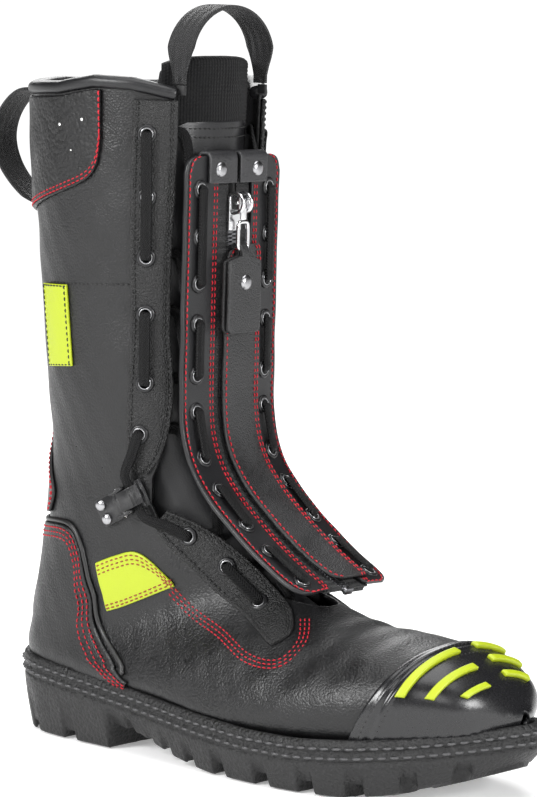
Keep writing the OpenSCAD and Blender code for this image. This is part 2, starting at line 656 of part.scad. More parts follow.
// ---- slider, puller and strap ----
PX = ZX + 7.2;
PZ = slider_z + 5;
module zip_slider() {
  b = chain_h / 2 + slider_gap;
  color(METAL)
    placed()
      difference() {
        union() {
          translate([ZX + b, -4.6, slider_z - 9])
            cube([1.3, 9.2, 17]);
          translate([ZX - b - 1.3, -4.6, slider_z - 9])
            cube([1.3, 9.2, 17]);
          translate([ZX - b - .1, -.45, slider_z + 3])
            cube([2 * b + .2, .9, 5]);
          for (g = [-1, 1])
            translate([ZX + b + 1.2, g * 3.1 - .8, PZ - 3.2])
              cube([PX - ZX - b + .8, 1.6, 6.4]);
        }
        translate([PX, 0, PZ])
          rotate([90, 0, 0])
            cylinder(h = 20, r = puller_pin_r + .01, center = true, $fn = 32);
      }
}
module puller_pin() {
  color(METAL)
    placed()
      translate([PX, 0, PZ])
        rotate([90, 0, 0])
          cylinder(h = 8.2, r = puller_pin_r, center = true, $fn = 32);
}
SPZ = PZ - 22;
BZ = SPZ - 1.2;
STX = PX + .7;
bar_r = 0.9;
module slider_puller() {
  color(METAL)
    placed() {
      difference() {
        union() {
          translate([PX, 0, PZ])
            rotate([90, 0, 0])
              cylinder(h = 4.2, r = 2, center = true, $fn = 32);
          translate([PX - .2, -2.1, PZ - 8])
            cube([1.8, 4.2, 8.2]);
          translate([PX - .2, -4.6, BZ - .9])
            cube([1.8, 9.2, 17]);
        }
        translate([PX, 0, PZ])
          rotate([90, 0, 0])
            cylinder(h = 20, r = puller_pin_r + pin_gap, center = true, $fn = 32);
        translate([PX - 3, -2.4, PZ - 14.5])
          cube([8, 4.8, 6]);
        translate([PX - 3, -3.2, BZ - 3])
          cube([8, 6.4, 5.6]);
      }
      translate([STX, 0, BZ])
        rotate([90, 0, 0])
          cylinder(h = 9.2, r = bar_r, center = true, $fn = 32);
    }
}
module pull_strap() {
  color(BLACK)
    placed()
      difference() {
        union() {
          translate([STX - 2.6, -12, BZ - 42])
            cube([5.2, 24, 37.5]);
          translate([STX, 0, BZ])
            rotate([90, 0, 0])
              cylinder(h = 5.8, r = 2.2, center = true, $fn = 32);
          translate([STX - 1.6, -2.9, BZ - 5])
            cube([3.2, 5.8, 4]);
        }
        translate([STX, 0, BZ])
          rotate([90, 0, 0])
            cylinder(h = 12, r = bar_r + pin_gap, center = true, $fn = 32);
        translate([STX - 8, 0, BZ - 16])
          rotate([0, 90, 0])
            cylinder(h = 16, r = 1.55, $fn = 24);
        translate([STX - .3, -15, BZ - 41])
          cube([.6, 30, 34]);
      }
}
module strap_snap() {
  color(METAL)
    placed()
      translate([STX + 2.62, 0, BZ - 16])
        rotate([0, 90, 0]) {
          dome(4, 1.5);
          translate([0, 0, -5.2])
            cylinder(h = 5.3, r = 1.5, $fn = 24);
        }
}

// ---- eyelets ----
module eyelet(len) {
  r0 = eyelet_r;
  r1 = eyelet_r + eyelet_wall;
  rotate_extrude($fn = 28)
    polygon([[r0, flange_t], [r0, -len], [r0 + 1.4, -len], [r0 + 1.4, -len + .45], [r1, -len + .45], [r1, 0],
      [flange_r, 0], [flange_r - .3, flange_t * .7], [r1 + .8, flange_t + .35], [r0 + .2, flange_t + .1]]);
}
module facing_eyelets(g) {
  for (e = FEYE)
    on_surf(g * e[0], e[1], OV1 + .3)
      eyelet(OV1 + .3 + leather_t + .95);
}
module eyelets_facing_lateral() {
  color(METAL)
    placed()
      facing_eyelets(1);
}
module eyelets_facing_medial() {
  color(METAL)
    placed()
      facing_eyelets(-1);
}
module strip_eyelets(g) {
  for (q = SEYE)
    on_zip(q, g * zip_row_w, SD1 + .45)
      eyelet(strip_t + .45 + .9);
}
module eyelets_strip_lateral() {
  color(METAL)
    placed()
      strip_eyelets(-1);
}
module eyelets_strip_medial() {
  color(METAL)
    placed()
      strip_eyelets(1);
}

// place of the lace lock on the outer quarter
LU = 72;
LV = 4.6;
LD = 1.0;
LTURN = 14;
LH = 5.6;
function lock_pt(x, y, z) = surf_pt(LU, LV, LD, LTURN, [x, y, z]);

// ---- laces ----
FO = OV1 + 1.6 + lace_r;
FI = -leather_t - 1.4 - lace_r;
SO = SD1 + 1.4 + lace_r;
SI = SD0 - 1.3 - lace_r;
function fo(k, g) = P(g * FEYE[k][0], FEYE[k][1], FO);
function fi(k, g) = P(g * FEYE[k][0], FEYE[k][1], FI);
function fm(k, g) = P(g * FEYE[k][0], FEYE[k][1], 0);
function so(k, g) = Z(SEYE[k], -g * zip_row_w, SO);
function si(k, g) = Z(SEYE[k], -g * zip_row_w, SI);
function sm(k, g) = Z(SEYE[k], -g * zip_row_w, SD0);
function mid(a, b, t = .5) = a + (b - a) * t;
function edge(k, g) = let(u = k > 5 ? FEYE[k][0] - 13 : lookup(FEYE[k][1], QFRONT) - 6) P(g * u,
    FEYE[k][1], FI + .6);
// across behind the strip, from facing eyelet a to strip eyelet b
function over(a, b, g) = [fm(a, g), fi(a, g), edge(a, g), mid(edge(a, g), si(b, g), .6), si(b, g), sm(b, g)];
function back(L) = [for (i = [len(L) - 1:-1:0]) L[i]];
// from one strip eyelet to the next, on the outside
function strip_run(a, b, g) = [so(a, g), mid(so(a, g), so(b, g)), so(b, g)];
function face_run(a, b, g) = [fo(a, g), mid(fo(a, g), fo(b, g)), fo(b, g)];
function past_lock(g) = g < 0 ? face_run(5, 6, g) :
  [fo(5, g), mid(fo(5, g), lock_pt(8, 11, 4.6)), lock_pt(8, 11, 4.4), lock_pt(8, 0, 3.65), lock_pt(8, -9,
      4.4),
    mid(lock_pt(8, -9, 4.4), fo(6, g)) + [0, -1.5, 0], fo(6, g)];
function lace(g) = concat([si(2, g) + [-4, 3 * g, 0], si(2, g), sm(2, g), so(2, g), mid(so(2, g), so(1,
    g), .2), so(1, g)],
  [mid(so(1, g), so(0, g), .8), so(0, g), sm(0, g), si(0, g), mid(si(0, g), edge(0, g), .4), edge(0, g),
      fi(0, g)],
  [fm(0, g), fo(0, g), mid(fo(0, g), fo(1, g), .2), fo(1, g), mid(fo(1, g), fo(2, g), .8), fo(2, g)],
      over(2, 3, g),
  strip_run(3, 4, g), back(over(3, 4, g)), face_run(3, 4, g), over(4, 5, g), strip_run(5, 6, g),
      back(over(5, 6, g)),
  past_lock(g), over(6, 7, g), strip_run(7, 8, g), back(over(7, 8, g)), face_run(7, 8, g), over(8, 9, g),
  strip_run(9, 10, g), [sm(10, g), si(10, g), si(10, g) + [-4, 3 * g, 1]]);
module lace_lateral() {
  color(CLOTH)
    placed()
      tube(lace(1), lace_r, 6, 2);
}
module lace_medial() {
  color(CLOTH)
    placed()
      tube(lace(-1), lace_r, 6, 2);
}

// ---- lace lock on the outer quarter ----
module lock_frame() {
  on_surf(LU, LV, LD, LTURN)
    children();
}
module lock_base() {
  color(SMOOTH)
    placed()
      lock_frame()
        difference() {
          union() {
            translate([-17, -lock_w / 2, 0])
              cube([30, lock_w, 1.8]);
            for (g = [-1, 1])
              translate([-4, g * (lock_w / 2 - .9) - .9, 1.7])
                cube([8, 1.8, 6]);
          }
          translate([5.5, -lock_w / 2 + 2.6, -1])
            cube([5, lock_w - 5.2, 6]);
          translate([0, 0, LH])
            rotate([90, 0, 0])
              cylinder(h = 40, r = lock_pin_r + .01, center = true, $fn = 32);
          for (y = [-3.8, 3.8])
            translate([-14, y, -1])
              cylinder(h = 6, r = 1.25, $fn = 24);
        }
}
module lock_pin() {
  color(METAL)
    placed()
      lock_frame()
        translate([0, 0, LH])
          rotate([90, 0, 0])
            cylinder(h = lock_w + .6, r = lock_pin_r, center = true, $fn = 32);
}
module lock_rivets() {
  color(METAL)
    placed()
      lock_frame()
        for (y = [-3.8, 3.8])
          translate([-14, y, 1.9]) {
            dome(2.9, 1.3);
            translate([0, 0, -1.75])
              cylinder(h = 1.8, r = 1.2, $fn = 24);
          }
}
module lock_lever() {
  w = lock_w - 4.2;
  color(SMOOTH)
    placed()
      lock_frame()
        difference() {
          union() {
            translate([0, 0, LH])
              rotate([90, 0, 0])
                cylinder(h = w, r = 2.2, center = true, $fn = 32);
            translate([0, -w / 2, LH])
              cube([13, w, 2.2]);
            for (x = [7.5, 9.5, 11.5])
              translate([x, -w / 2, LH + 2])
                cube([1, w, .9]);
          }
          translate([0, 0, LH])
            rotate([90, 0, 0])
              cylinder(h = 40, r = lock_pin_r + pin_gap, center = true, $fn = 32);
        }
}

// ---- webbing loops ----
FLX = 110;
FLZ = 338;
module front_loop() {
  a = front_span;
  b = front_top - FLZ - 8;
  o = concat([for (i = [0:24]) [a * cos(180 * i / 24), 8 + b * sin(180 * i / 24)]], [[-a, -4.2],
      [-a + web_t, -4.2]],
    [for (i = [24:-1:0]) [(a - web_t) * cos(180 * i / 24), 8 + (b - web_t) * sin(180 * i / 24)]],
        [[a - web_t, -4.2], [a, -4.2]]);
  color(CLOTH)
    placed()
      translate([FLX, 0, FLZ])
        intersection() {
          rotate([90, 0, 90])
            linear_extrude(front_w, center = true)
              polygon(o);
          rotate([90, 0, 0])
            linear_extrude(3 * front_span, center = true)
              union() {
                circle(r = 4, $fn = 32);
                polygon([[-4, 0], [4, 0], [front_w / 2, 14], [front_w / 2, b + 30], [-front_w / 2, b + 30],
                    [-front_w / 2, 14]]);
              }
        }
}
// rear loop outline in the x z plane, from the upper to the lower end
REAR = [[-1.4, 322.5], [-8, 326], [-18, 325.5], [-27, 319.5], [-33.6, 310], [-35.4, 299], [-31, 287.5],
    [-22, 277.5],
  [-11, 270], [1.2, 265.5]];
module rear_loop() {
  n = 18;
  mid_pts = [for (i = [0:n]) at(REAR, 9 * i / n)];
  o = [for (i = [0:n]) let(t = unit(mid_pts[min(i + 1, n)] - mid_pts[max(i - 1,
      0)])) mid_pts[i] + web_t / 2 * [t[1], -t[0]]];
  q = [for (i = [n:-1:0]) let(t = unit(mid_pts[min(i + 1, n)] - mid_pts[max(i - 1,
      0)])) mid_pts[i] - web_t / 2 * [t[1], -t[0]]];
  color(CLOTH)
    placed()
      intersection() {
        rotate([90, 0, 0])
          linear_extrude(rear_w, center = true)
            polygon(concat(o, q));
        translate([0, 0, 240])
          linear_extrude(120)
            polygon([[4, -2], [4, 2], [-1, 2], [-15, rear_w / 2], [-60, rear_w / 2], [-60, -rear_w / 2],
                [-15, -rear_w / 2], [-1, -2]]);
      }
}
module loop_anchors() {
  color(CLOTH)
    placed() {
      translate([FLX - 1, -front_span + .1, FLZ - 9.4])
        cube([5, web_t - .2, 4.8]);
      translate([FLX - 1, front_span - web_t + .1, FLZ - 9.4])
        cube([5, web_t - .2, 4.8]);
    }
}

outsole();
midsole();
shank();
puncture_plate();
insole_board();
footbed();
lining_shaft();
lining_foot();
collar_padding();
toe_cap();
heel_stiffener();
quarter_lateral();
quarter_medial();
vamp();
heel_counter();
back_stay();
collar_cuff();
collar_binding();
facing_upper_lateral();
facing_upper_medial();
facing_lower_lateral();
facing_lower_medial();
ankle_patch_lateral();
ankle_patch_medial();
shaft_patches();
toe_bumper();
toe_bars();
tongue_leather();
tongue_padding();
zip_tape_lateral();
zip_tape_medial();
teeth_lateral();
teeth_medial();
bottom_stop();
zip_strip_lateral();
zip_strip_medial();
zip_cover_flap();
hook_loop_patch();
keepers();
keeper_rivets();
zip_slider();
puller_pin();
slider_puller();
pull_strap();
strap_snap();
eyelets_facing_lateral();
eyelets_facing_medial();
eyelets_strip_lateral();
eyelets_strip_medial();
lace_lateral();
lace_medial();
lock_base();
lock_pin();
lock_rivets();
lock_lever();
front_loop();
rear_loop();
loop_anchors();
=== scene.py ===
import bpy, bmesh, math
import numpy as np
from mathutils import Matrix, Vector


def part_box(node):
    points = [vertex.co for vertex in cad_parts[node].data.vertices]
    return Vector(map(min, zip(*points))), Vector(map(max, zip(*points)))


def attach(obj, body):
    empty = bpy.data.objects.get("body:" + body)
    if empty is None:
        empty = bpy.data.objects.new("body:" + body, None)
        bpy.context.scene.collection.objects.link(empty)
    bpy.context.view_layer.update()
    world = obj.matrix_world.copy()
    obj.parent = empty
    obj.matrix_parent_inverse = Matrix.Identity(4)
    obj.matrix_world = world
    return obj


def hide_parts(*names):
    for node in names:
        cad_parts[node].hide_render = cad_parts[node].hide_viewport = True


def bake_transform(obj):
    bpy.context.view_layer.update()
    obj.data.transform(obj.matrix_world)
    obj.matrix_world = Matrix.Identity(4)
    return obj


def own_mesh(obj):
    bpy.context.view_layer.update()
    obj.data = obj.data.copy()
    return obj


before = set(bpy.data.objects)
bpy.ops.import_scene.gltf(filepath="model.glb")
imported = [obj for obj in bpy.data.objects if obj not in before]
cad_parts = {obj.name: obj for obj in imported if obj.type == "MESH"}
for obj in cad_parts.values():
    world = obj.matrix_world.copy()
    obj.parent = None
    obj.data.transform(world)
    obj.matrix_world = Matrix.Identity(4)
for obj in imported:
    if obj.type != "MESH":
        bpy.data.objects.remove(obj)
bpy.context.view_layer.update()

# ---------------------------------------------------------------- camera, light and ground
# A long lens looks at the boot from its front outer side, a little from above.
# The ground is a pale, plain sheet, lit by large soft lamps, under a sky that is white near the horizon.
low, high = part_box("front_loop")
SHIFT = np.array([110 - (low[0] + high[0]) * 500, -(low[1] + high[1]) * 500, 0])


def metres(p):
    """a point worked out in millimetres, in the row frame"""
    return (np.asarray(p, float) - SHIFT) / 1000


def paint(name, col, rough_, group=None, sets=None, metal=0., coat=0., tone=.25, sheen=0., spec=.5):
    """one Principled material, with a grain or weave group that varies its normal and roughness"""
    m = bpy.data.materials.new(name)
    m.use_nodes = True
    N, K = m.node_tree.nodes, m.node_tree.links
    b = N["Principled BSDF"]
    b.inputs["Base Color"].default_value = (*col, 1)
    b.inputs["Roughness"].default_value = rough_
    b.inputs["Metallic"].default_value = metal
    b.inputs["Coat Weight"].default_value = coat
    b.inputs["Coat Roughness"].default_value = .12
    b.inputs["Sheen Weight"].default_value = sheen
    b.inputs["Specular IOR Level"].default_value = spec
    if group:
        g = N.new("ShaderNodeGroup")
        g.node_tree = group
        for k, v in (sets or {}).items():
            g.inputs[k].default_value = v
        K.new(g.outputs["Normal"], b.inputs["Normal"])
        mr = N.new("ShaderNodeMapRange")
        mr.inputs["From Min"].default_value, mr.inputs["From Max"].default_value = -.4, .7
        mr.inputs["To Min"].default_value = rough_ - .5 * tone
        mr.inputs["To Max"].default_value = rough_ + .5 * tone
        K.new(g.outputs["Tone"], mr.inputs["Value"])
        K.new(mr.outputs["Result"], b.inputs["Roughness"])
        cm = N.new("ShaderNodeMix")
        cm.data_type = "RGBA"
        cm.inputs["A"].default_value = (*[c * (1 - tone) for c in col], 1)
        cm.inputs["B"].default_value = (*[c * (1 + tone) for c in col], 1)
        K.new(g.outputs["Tone"], cm.inputs["Factor"])
        K.new(cm.outputs["Result"], b.inputs["Base Color"])
    return m


cam = bpy.data.objects.new("camera", bpy.data.cameras.new("camera"))
bpy.context.scene.collection.objects.link(cam)
az, pitch, roll = .685636, .113553, .025616
back_ = np.array([math.sin(az) * math.cos(pitch), -math.cos(az) * math.cos(pitch), math.sin(pitch)])
right_ = np.array([math.cos(az), math.sin(az), 0.])
up_ = np.cross(back_, right_)
right_r, up_r = math.cos(roll) * right_ + math.sin(roll) * up_, -math.sin(roll) * right_ + math.cos(roll) * up_
M = np.eye(4)
CAMERA_AT = [1357.67, -1481.20, 398.74]
LENS, SENSOR, FAR = 176.43, 36, 50
M[:3, 0], M[:3, 1], M[:3, 2], M[:3, 3] = right_r, up_r, back_, metres(CAMERA_AT)
cam.matrix_world = Matrix(M.tolist())
cam.data.lens, cam.data.sensor_width, cam.data.clip_end = LENS, SENSOR, FAR
bpy.context.scene.camera = cam

bpy.ops.mesh.primitive_plane_add(size=2.6, location=(0, 0, -.0006))
ground = bpy.context.object
ground.name = "ground"
GROUND = paint("ground_white", (.9, .9, .9), .8)
GROUND.node_tree.nodes["Principled BSDF"].inputs["Emission Color"].default_value = (1, 1, 1, 1)
GROUND.node_tree.nodes["Principled BSDF"].inputs["Emission Strength"].default_value = .3
ground.data.materials.append(GROUND)
world = bpy.data.worlds.new("world")
bpy.context.scene.world = world
bpy.context.scene.view_settings.view_transform = "Standard"
world.use_nodes = True
N, K = world.node_tree.nodes, world.node_tree.links
tc, sep, ramp = N.new("ShaderNodeTexCoord"), N.new("ShaderNodeSeparateXYZ"), N.new("ShaderNodeMapRange")
K.new(tc.outputs["Generated"], sep.inputs["Vector"])
K.new(sep.outputs["Z"], ramp.inputs["Value"])
ramp.inputs["From Min"].default_value, ramp.inputs["From Max"].default_value = .03, .12
ramp.inputs["To Min"].default_value, ramp.inputs["To Max"].default_value = 1.1, .02
N["Background"].inputs[0].default_value = (1, 1, 1, 1)
K.new(ramp.outputs["Result"], N["Background"].inputs[1])
for name, pos, size, power in (("top", (.1, -.1, 2.4), 2.2, 58), ("key", (-.5, -2.1, 1.2), .9, 68),
    ("side", (2.3, -.1, .9), .9, 52), ("back", (-1.6, 1.5, 1.4), 1.2, 22),
    ("front", (1.7, -1.9, 1.5), 1., 14)):
    ld = bpy.data.lights.new(name, "AREA")
    ld.shape, ld.size, ld.energy = "SQUARE", size, power
    lo = bpy.data.objects.new(name, ld)
    lo.location = pos
    lo.rotation_euler = (Vector((0, 0, .16)) - Vector(pos)).to_track_quat("-Z", "Y").to_euler()
    bpy.context.scene.collection.objects.link(lo)

# ---------------------------------------------------------------- sole
# One cup sole of nitrile rubber, moulded round the upper: a rounded lip on top, a groove line below it,
# a stippled wall and a lugged tread. Two rows of raised dashes look like stitches along the rim; they are
# painted lighter than the sole's rubber, a painted highlight on their raised tops.
RIM_Z = np.array([[-10, 41], [20, 40], [60, 36.8], [100, 33], [140, 29], [180, 27], [210, 27], [240, 29],
    [265, 32], [285, 35], [305, 38.5]])


def at(L, p):
    """smooth curve through the rows of a table, at row number p"""
    L = np.asarray(L, float)
    p = np.asarray(p, float)
    n = len(L) - 1
    i = np.clip(np.floor(p).astype(int), 0, n - 1)
    t = (p - i)[..., None]
    a, b, c, d = L[np.maximum(i - 1, 0)], L[i], L[i + 1], L[np.minimum(i + 2, n)]
    return .5 * (2 * b + (c - a) * t + (2 * a - 5 * b + 4 * c - d) * t * t + (3 * b - a - 3 * c + d) * t ** 3)


def unit(a):
    """vectors brought to length one"""
    return a / np.maximum(np.linalg.norm(a, axis=-1, keepdims=True), 1e-9)


def rim_z(x):
    return np.interp(x, RIM_Z[:, 0], RIM_Z[:, 1])


def add_mesh(name, verts, faces, mat, body, uv=None, smooth=True, nodes=()):
    me = bpy.data.meshes.new(name)
    me.from_pydata(metres(verts).reshape(-1, 3).tolist(), [], [list(map(int, f)) for f in faces])
    if uv is not None:
        lay = me.uv_layers.new(name="UVMap")
        idx = np.zeros(len(me.loops), int)
        me.loops.foreach_get("vertex_index", idx)
        lay.data.foreach_set("uv", (np.asarray(uv, float).reshape(-1, 2)[idx] / 1000).ravel())
    me.validate()
    if smooth:
        me.shade_smooth()
    ob = bpy.data.objects.new(name, me)
    bpy.context.scene.collection.objects.link(ob)
    me.materials.append(mat)
    if body:
        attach(ob, body)
    if nodes:
        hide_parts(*nodes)
    return ob


def spaced(X, N, pitch, start=.5):
    """points every pitch along a polyline, with tangents and normals"""
    s = np.concatenate([[0], np.cumsum(np.linalg.norm(np.diff(X, axis=0), axis=1))])
    k = np.arange(start * pitch, s[-1], pitch)
    C = np.stack([np.interp(k, s, X[:, i]) for i in range(3)], -1)
    M = unit(np.stack([np.interp(k, s, N[:, i]) for i in range(3)], -1))
    D = np.stack([np.interp(k + .3, s, X[:, i]) - np.interp(k - .3, s, X[:, i]) for i in range(3)], -1)
    return C, unit(D), M


def scatter_group():
    g = bpy.data.node_groups.get("set_pieces")
    if g:
        return g
    g = bpy.data.node_groups.new("set_pieces", "GeometryNodeTree")
    for n, t in (("Geometry", "NodeSocketGeometry"), ("Piece", "NodeSocketObject"),
        ("Paint", "NodeSocketMaterial")):
        g.interface.new_socket(n, in_out="INPUT", socket_type=t)
    g.interface.new_socket("Geometry", in_out="OUTPUT", socket_type="NodeSocketGeometry")
    N, K = g.nodes, g.links
    i, o = N.new("NodeGroupInput"), N.new("NodeGroupOutput")
    info, pts = N.new("GeometryNodeObjectInfo"), N.new("GeometryNodeMeshToPoints")
    inst, ax = N.new("GeometryNodeInstanceOnPoints"), N.new("FunctionNodeAxesToRotation")
    ax.primary_axis, ax.secondary_axis = "X", "Z"
    tan, nor = N.new("GeometryNodeInputNamedAttribute"), N.new("GeometryNodeInputNamedAttribute")
    for a, w in ((tan, "tan"), (nor, "nor")):
        a.data_type = "FLOAT_VECTOR"
        a.inputs["Name"].default_value = w
    real, setm = N.new("GeometryNodeRealizeInstances"), N.new("GeometryNodeSetMaterial")
    K.new(i.outputs["Geometry"], pts.inputs["Mesh"])
    K.new(i.outputs["Piece"], info.inputs["Object"])
    K.new(pts.outputs["Points"], inst.inputs["Points"])
    K.new(info.outputs["Geometry"], inst.inputs["Instance"])
    K.new(tan.outputs["Attribute"], ax.inputs["Primary Axis"])
    K.new(nor.outputs["Attribute"], ax.inputs["Secondary Axis"])
    K.new(ax.outputs["Rotation"], inst.inputs["Rotation"])
    K.new(inst.outputs["Instances"], real.inputs["Geometry"])
    K.new(real.outputs["Geometry"], setm.inputs["Geometry"])
    K.new(i.outputs["Paint"], setm.inputs["Material"])
    K.new(setm.outputs["Geometry"], o.inputs["Geometry"])
    return g


def scatter(name, rows, piece, mat, body="boot", nodes=()):
    """rows of (points, tangents, normals); piece is a mesh in millimetres at the origin"""
    C, D, M = (np.concatenate([r[k] for r in rows]) for k in range(3))
    me = bpy.data.meshes.new(name)
    me.from_pydata(metres(C).tolist(), [], [])
    for w, a in (("tan", D), ("nor", M)):
        at_ = me.attributes.new(w, "FLOAT_VECTOR", "POINT")
        at_.data.foreach_set("vector", a.astype(float).ravel())
    ob = bpy.data.objects.new(name, me)
    bpy.context.scene.collection.objects.link(ob)
    src = bpy.data.objects.new(name + "_one", piece)
    bpy.context.scene.collection.objects.link(src)
    g = scatter_group()
    mod = ob.modifiers.new("set", "NODES")
    mod.node_group = g
    ids = {s.name: s.identifier for s in g.interface.items_tree if s.in_out == "INPUT"}
    mod[ids["Piece"]] = src
    mod[ids["Paint"]] = mat
    bpy.context.view_layer.update()
    new = bpy.data.meshes.new_from_object(ob.evaluated_get(bpy.context.evaluated_depsgraph_get()))
    ob.modifiers.clear()
    ob.data = new
    bpy.data.objects.remove(src)
    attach(ob, body)
    if nodes:
        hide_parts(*nodes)
    return ob


def stitch_mesh(L, r):
    """one stitch lying along X, its ends dipping into the leather"""
    n, k = 6, 7
    x = np.linspace(-1, 1, k)
    a = np.linspace(0, 2 * np.pi, n, endpoint=False)
    V = np.concatenate([np.stack([np.full(n, q * L / 2), r * (1 - .55 * q ** 4) * np.cos(a),
        r * (1 - .55 * q ** 4) * np.sin(a) + r * (.55 - 1.3 * q * q)], -1) for q in x])
    F = [[j * n + i, j * n + (i + 1) % n, (j + 1) * n + (i + 1) % n, (j + 1) * n + i] for j in range(k - 1)
        for i in range(n)]
    F += [list(range(n))[::-1], [(k - 1) * n + i for i in range(n)]]
    me = bpy.data.meshes.new("stitch")
    me.from_pydata((V / 1000).tolist(), [], [f[::-1] for f in F])
    me.shade_smooth()
    return me


# shader groups give only values and normals; the Principled shader stays in each material
def group_io(name, ins, outs):
    g = bpy.data.node_groups.new(name, "ShaderNodeTree")
    for n, t, v in ins:
        s = g.interface.new_socket(n, in_out="INPUT", socket_type=t)
        if v is not None:
            s.default_value = v
    for n, t in outs:
        g.interface.new_socket(n, in_out="OUTPUT", socket_type=t)
    return g, g.nodes.new("NodeGroupInput"), g.nodes.new("NodeGroupOutput")


def math_node(g, op, a, b=None):
    n = g.nodes.new("ShaderNodeMath")
    n.operation = op
    for k, x in enumerate((a, b)):
        if x is None:
            continue
        if isinstance(x, (int, float)):
            n.inputs[k].default_value = x
        else:
            g.links.new(x, n.inputs[k])
    return n.outputs[0]


def grain_group():
    """pebbled leather: cells of one size with slow folds over them"""
    g, i, o = group_io("leather_grain", [("Cell", "NodeSocketFloat", 900.),
        ("Depth", "NodeSocketFloat", .4)], [("Normal", "NodeSocketVector"), ("Tone", "NodeSocketFloat")])
    N, K = g.nodes, g.links
    tc = N.new("ShaderNodeTexCoord")
    warp, vor = N.new("ShaderNodeTexNoise"), N.new("ShaderNodeTexVoronoi")
    fine, slow = N.new("ShaderNodeTexNoise"), N.new("ShaderNodeTexNoise")
    warp.inputs["Scale"].default_value = 420
    fine.inputs["Scale"].default_value = 2600
    fine.inputs["Detail"].default_value = 3
    slow.inputs["Scale"].default_value = 45
    slow.inputs["Detail"].default_value = 4
    mix = N.new("ShaderNodeMix")
    mix.data_type = "VECTOR"
    mix.inputs["Factor"].default_value = .0011
    K.new(tc.outputs["Object"], warp.inputs["Vector"])
    K.new(tc.outputs["Object"], mix.inputs["A"])
    K.new(warp.outputs["Color"], mix.inputs["B"])
    K.new(mix.outputs["Result"], vor.inputs["Vector"])
    K.new(i.outputs["Cell"], vor.inputs["Scale"])
    K.new(tc.outputs["Object"], fine.inputs["Vector"])
    K.new(tc.outputs["Object"], slow.inputs["Vector"])
    vor.feature = "SMOOTH_F1"
    vor.inputs["Smoothness"].default_value = .35
    h = math_node(g, "SUBTRACT", math_node(g, "MULTIPLY", fine.outputs["Fac"], .45),
        vor.outputs["Distance"])
    b = N.new("ShaderNodeBump")
    b.inputs["Distance"].default_value = .00045
    K.new(i.outputs["Depth"], b.inputs["Strength"])
    K.new(h, b.inputs["Height"])
    K.new(b.outputs["Normal"], o.inputs["Normal"])
    K.new(math_node(g, "ADD", math_node(g, "MULTIPLY", vor.outputs["Distance"], -.5),
        math_node(g, "MULTIPLY", slow.outputs["Fac"], .9)), o.inputs["Tone"])
    return g


def weave_group():
    """crossed ribs of a woven band, along its own length"""
    g, i, o = group_io("woven_ribs", [("Rib", "NodeSocketFloat", 900.), ("Slant", "NodeSocketFloat", .5),
        ("Depth", "NodeSocketFloat", .6)], [("Normal", "NodeSocketVector"), ("Tone", "NodeSocketFloat")])
    N, K = g.nodes, g.links
    uv, sep = N.new("ShaderNodeUVMap"), N.new("ShaderNodeSeparateXYZ")
    K.new(uv.outputs["UV"], sep.inputs["Vector"])
    ab = math_node(g, "ABSOLUTE", math_node(g, "ADD", math_node(g, "PINGPONG", sep.outputs["Y"], .0022), 0))
    ph = math_node(g, "MULTIPLY", math_node(g, "ADD", sep.outputs["X"],
        math_node(g, "MULTIPLY", ab, i.outputs["Slant"])), i.outputs["Rib"])
    w = math_node(g, "SINE", math_node(g, "MULTIPLY", ph, 6.2832))
    w2 = math_node(g, "SINE", math_node(g, "MULTIPLY", math_node(g, "MULTIPLY", sep.outputs["Y"],
        i.outputs["Rib"]), 6.2832))
    h = math_node(g, "ADD", w, math_node(g, "MULTIPLY", w2, .35))
    b = N.new("ShaderNodeBump")
    b.inputs["Distance"].default_value = .00035
    K.new(i.outputs["Depth"], b.inputs["Strength"])
    K.new(h, b.inputs["Height"])
    K.new(b.outputs["Normal"], o.inputs["Normal"])
    K.new(math_node(g, "MULTIPLY", h, .3), o.inputs["Tone"])
    return g


GRAIN, WEAVE = grain_group(), weave_group()
RUBBER = paint("sole_rubber", (.009, .009, .0095), .46, GRAIN, {"Cell": 560., "Depth": 1.5}, tone=.6,
    spec=.42)
# rim dashes: the sole's own rubber painted about six times lighter, a painted highlight on their raised tops
DASH_HIGHLIGHT = paint("sole_dash_painted_highlight", (.055, .055, .057), .40, GRAIN, {"Cell": 900., "Depth": .12}, tone=.2)
RIM_OUT = np.array([[-1, 0], [0.3, -13], [8, -24.5], [22, -33.7], [43, -38.4], [70, -40.5], [98, -43.2],
    [126, -46.7], [152, -51], [178, -54], [204, -54], [226, -50.5], [247, -42], [266, -32], [282, -17.5],
    [294, -2.5], [301, 8], [303, 16]])
RIM_IN = np.array([[-1, 0], [0.3, 13], [8, 24.5], [22, 35.8], [43, 40.5], [70, 42.5], [98, 45], [126, 48],
    [152, 51.5], [178, 55], [204, 57.8], [226, 58.2], [247, 56.5], [266, 52.5], [282, 45.5], [294, 35],
    [301, 24.5], [303, 16]])
FLOOR_Z = np.array([[-10, 1.5], [0, 0], [77, 0], [80, 13], [100, 10.5], [112, 6.8], [125, 3.4], [140, 1],
    [152, 0], [236, 0], [252, 2.2], [268, 6.5], [285, 12], [305, 20]])
GROOVES = [(18, 7, 4.5), (49, 8, 4.5), (93, 4, 15), (107, 4, 10), (120, 5, 8), (137, 6, 6), (159, 7, 6),
    (188, 8, 6), (215, 8, 6), (240, 8, 7), (264, 7, 12), (284, 6, 17)]
q = np.linspace(0, 17, 400)
ring = np.concatenate([at(RIM_OUT, q), at(RIM_IN, q)[::-1][1:-1]])
s = np.concatenate([[0], np.cumsum(np.linalg.norm(np.diff(np.vstack([ring, ring[:1]]), axis=0), axis=1))])
ns_ = 1180
k = np.linspace(0, s[-1], ns_, endpoint=False)
ring = np.stack([np.interp(k, s, np.append(ring[:, i], ring[0, i])) for i in (0, 1)], -1)
for _ in range(14):
    ring = .5 * ring + .25 * (np.roll(ring, 1, 0) + np.roll(ring, -1, 0))
tang = unit(np.roll(ring, -1, 0) - np.roll(ring, 1, 0))
out2 = np.stack([tang[:, 1], -tang[:, 0]], -1)
if (out2 * (ring - [150, 0])).sum() < 0:
    out2 = -out2


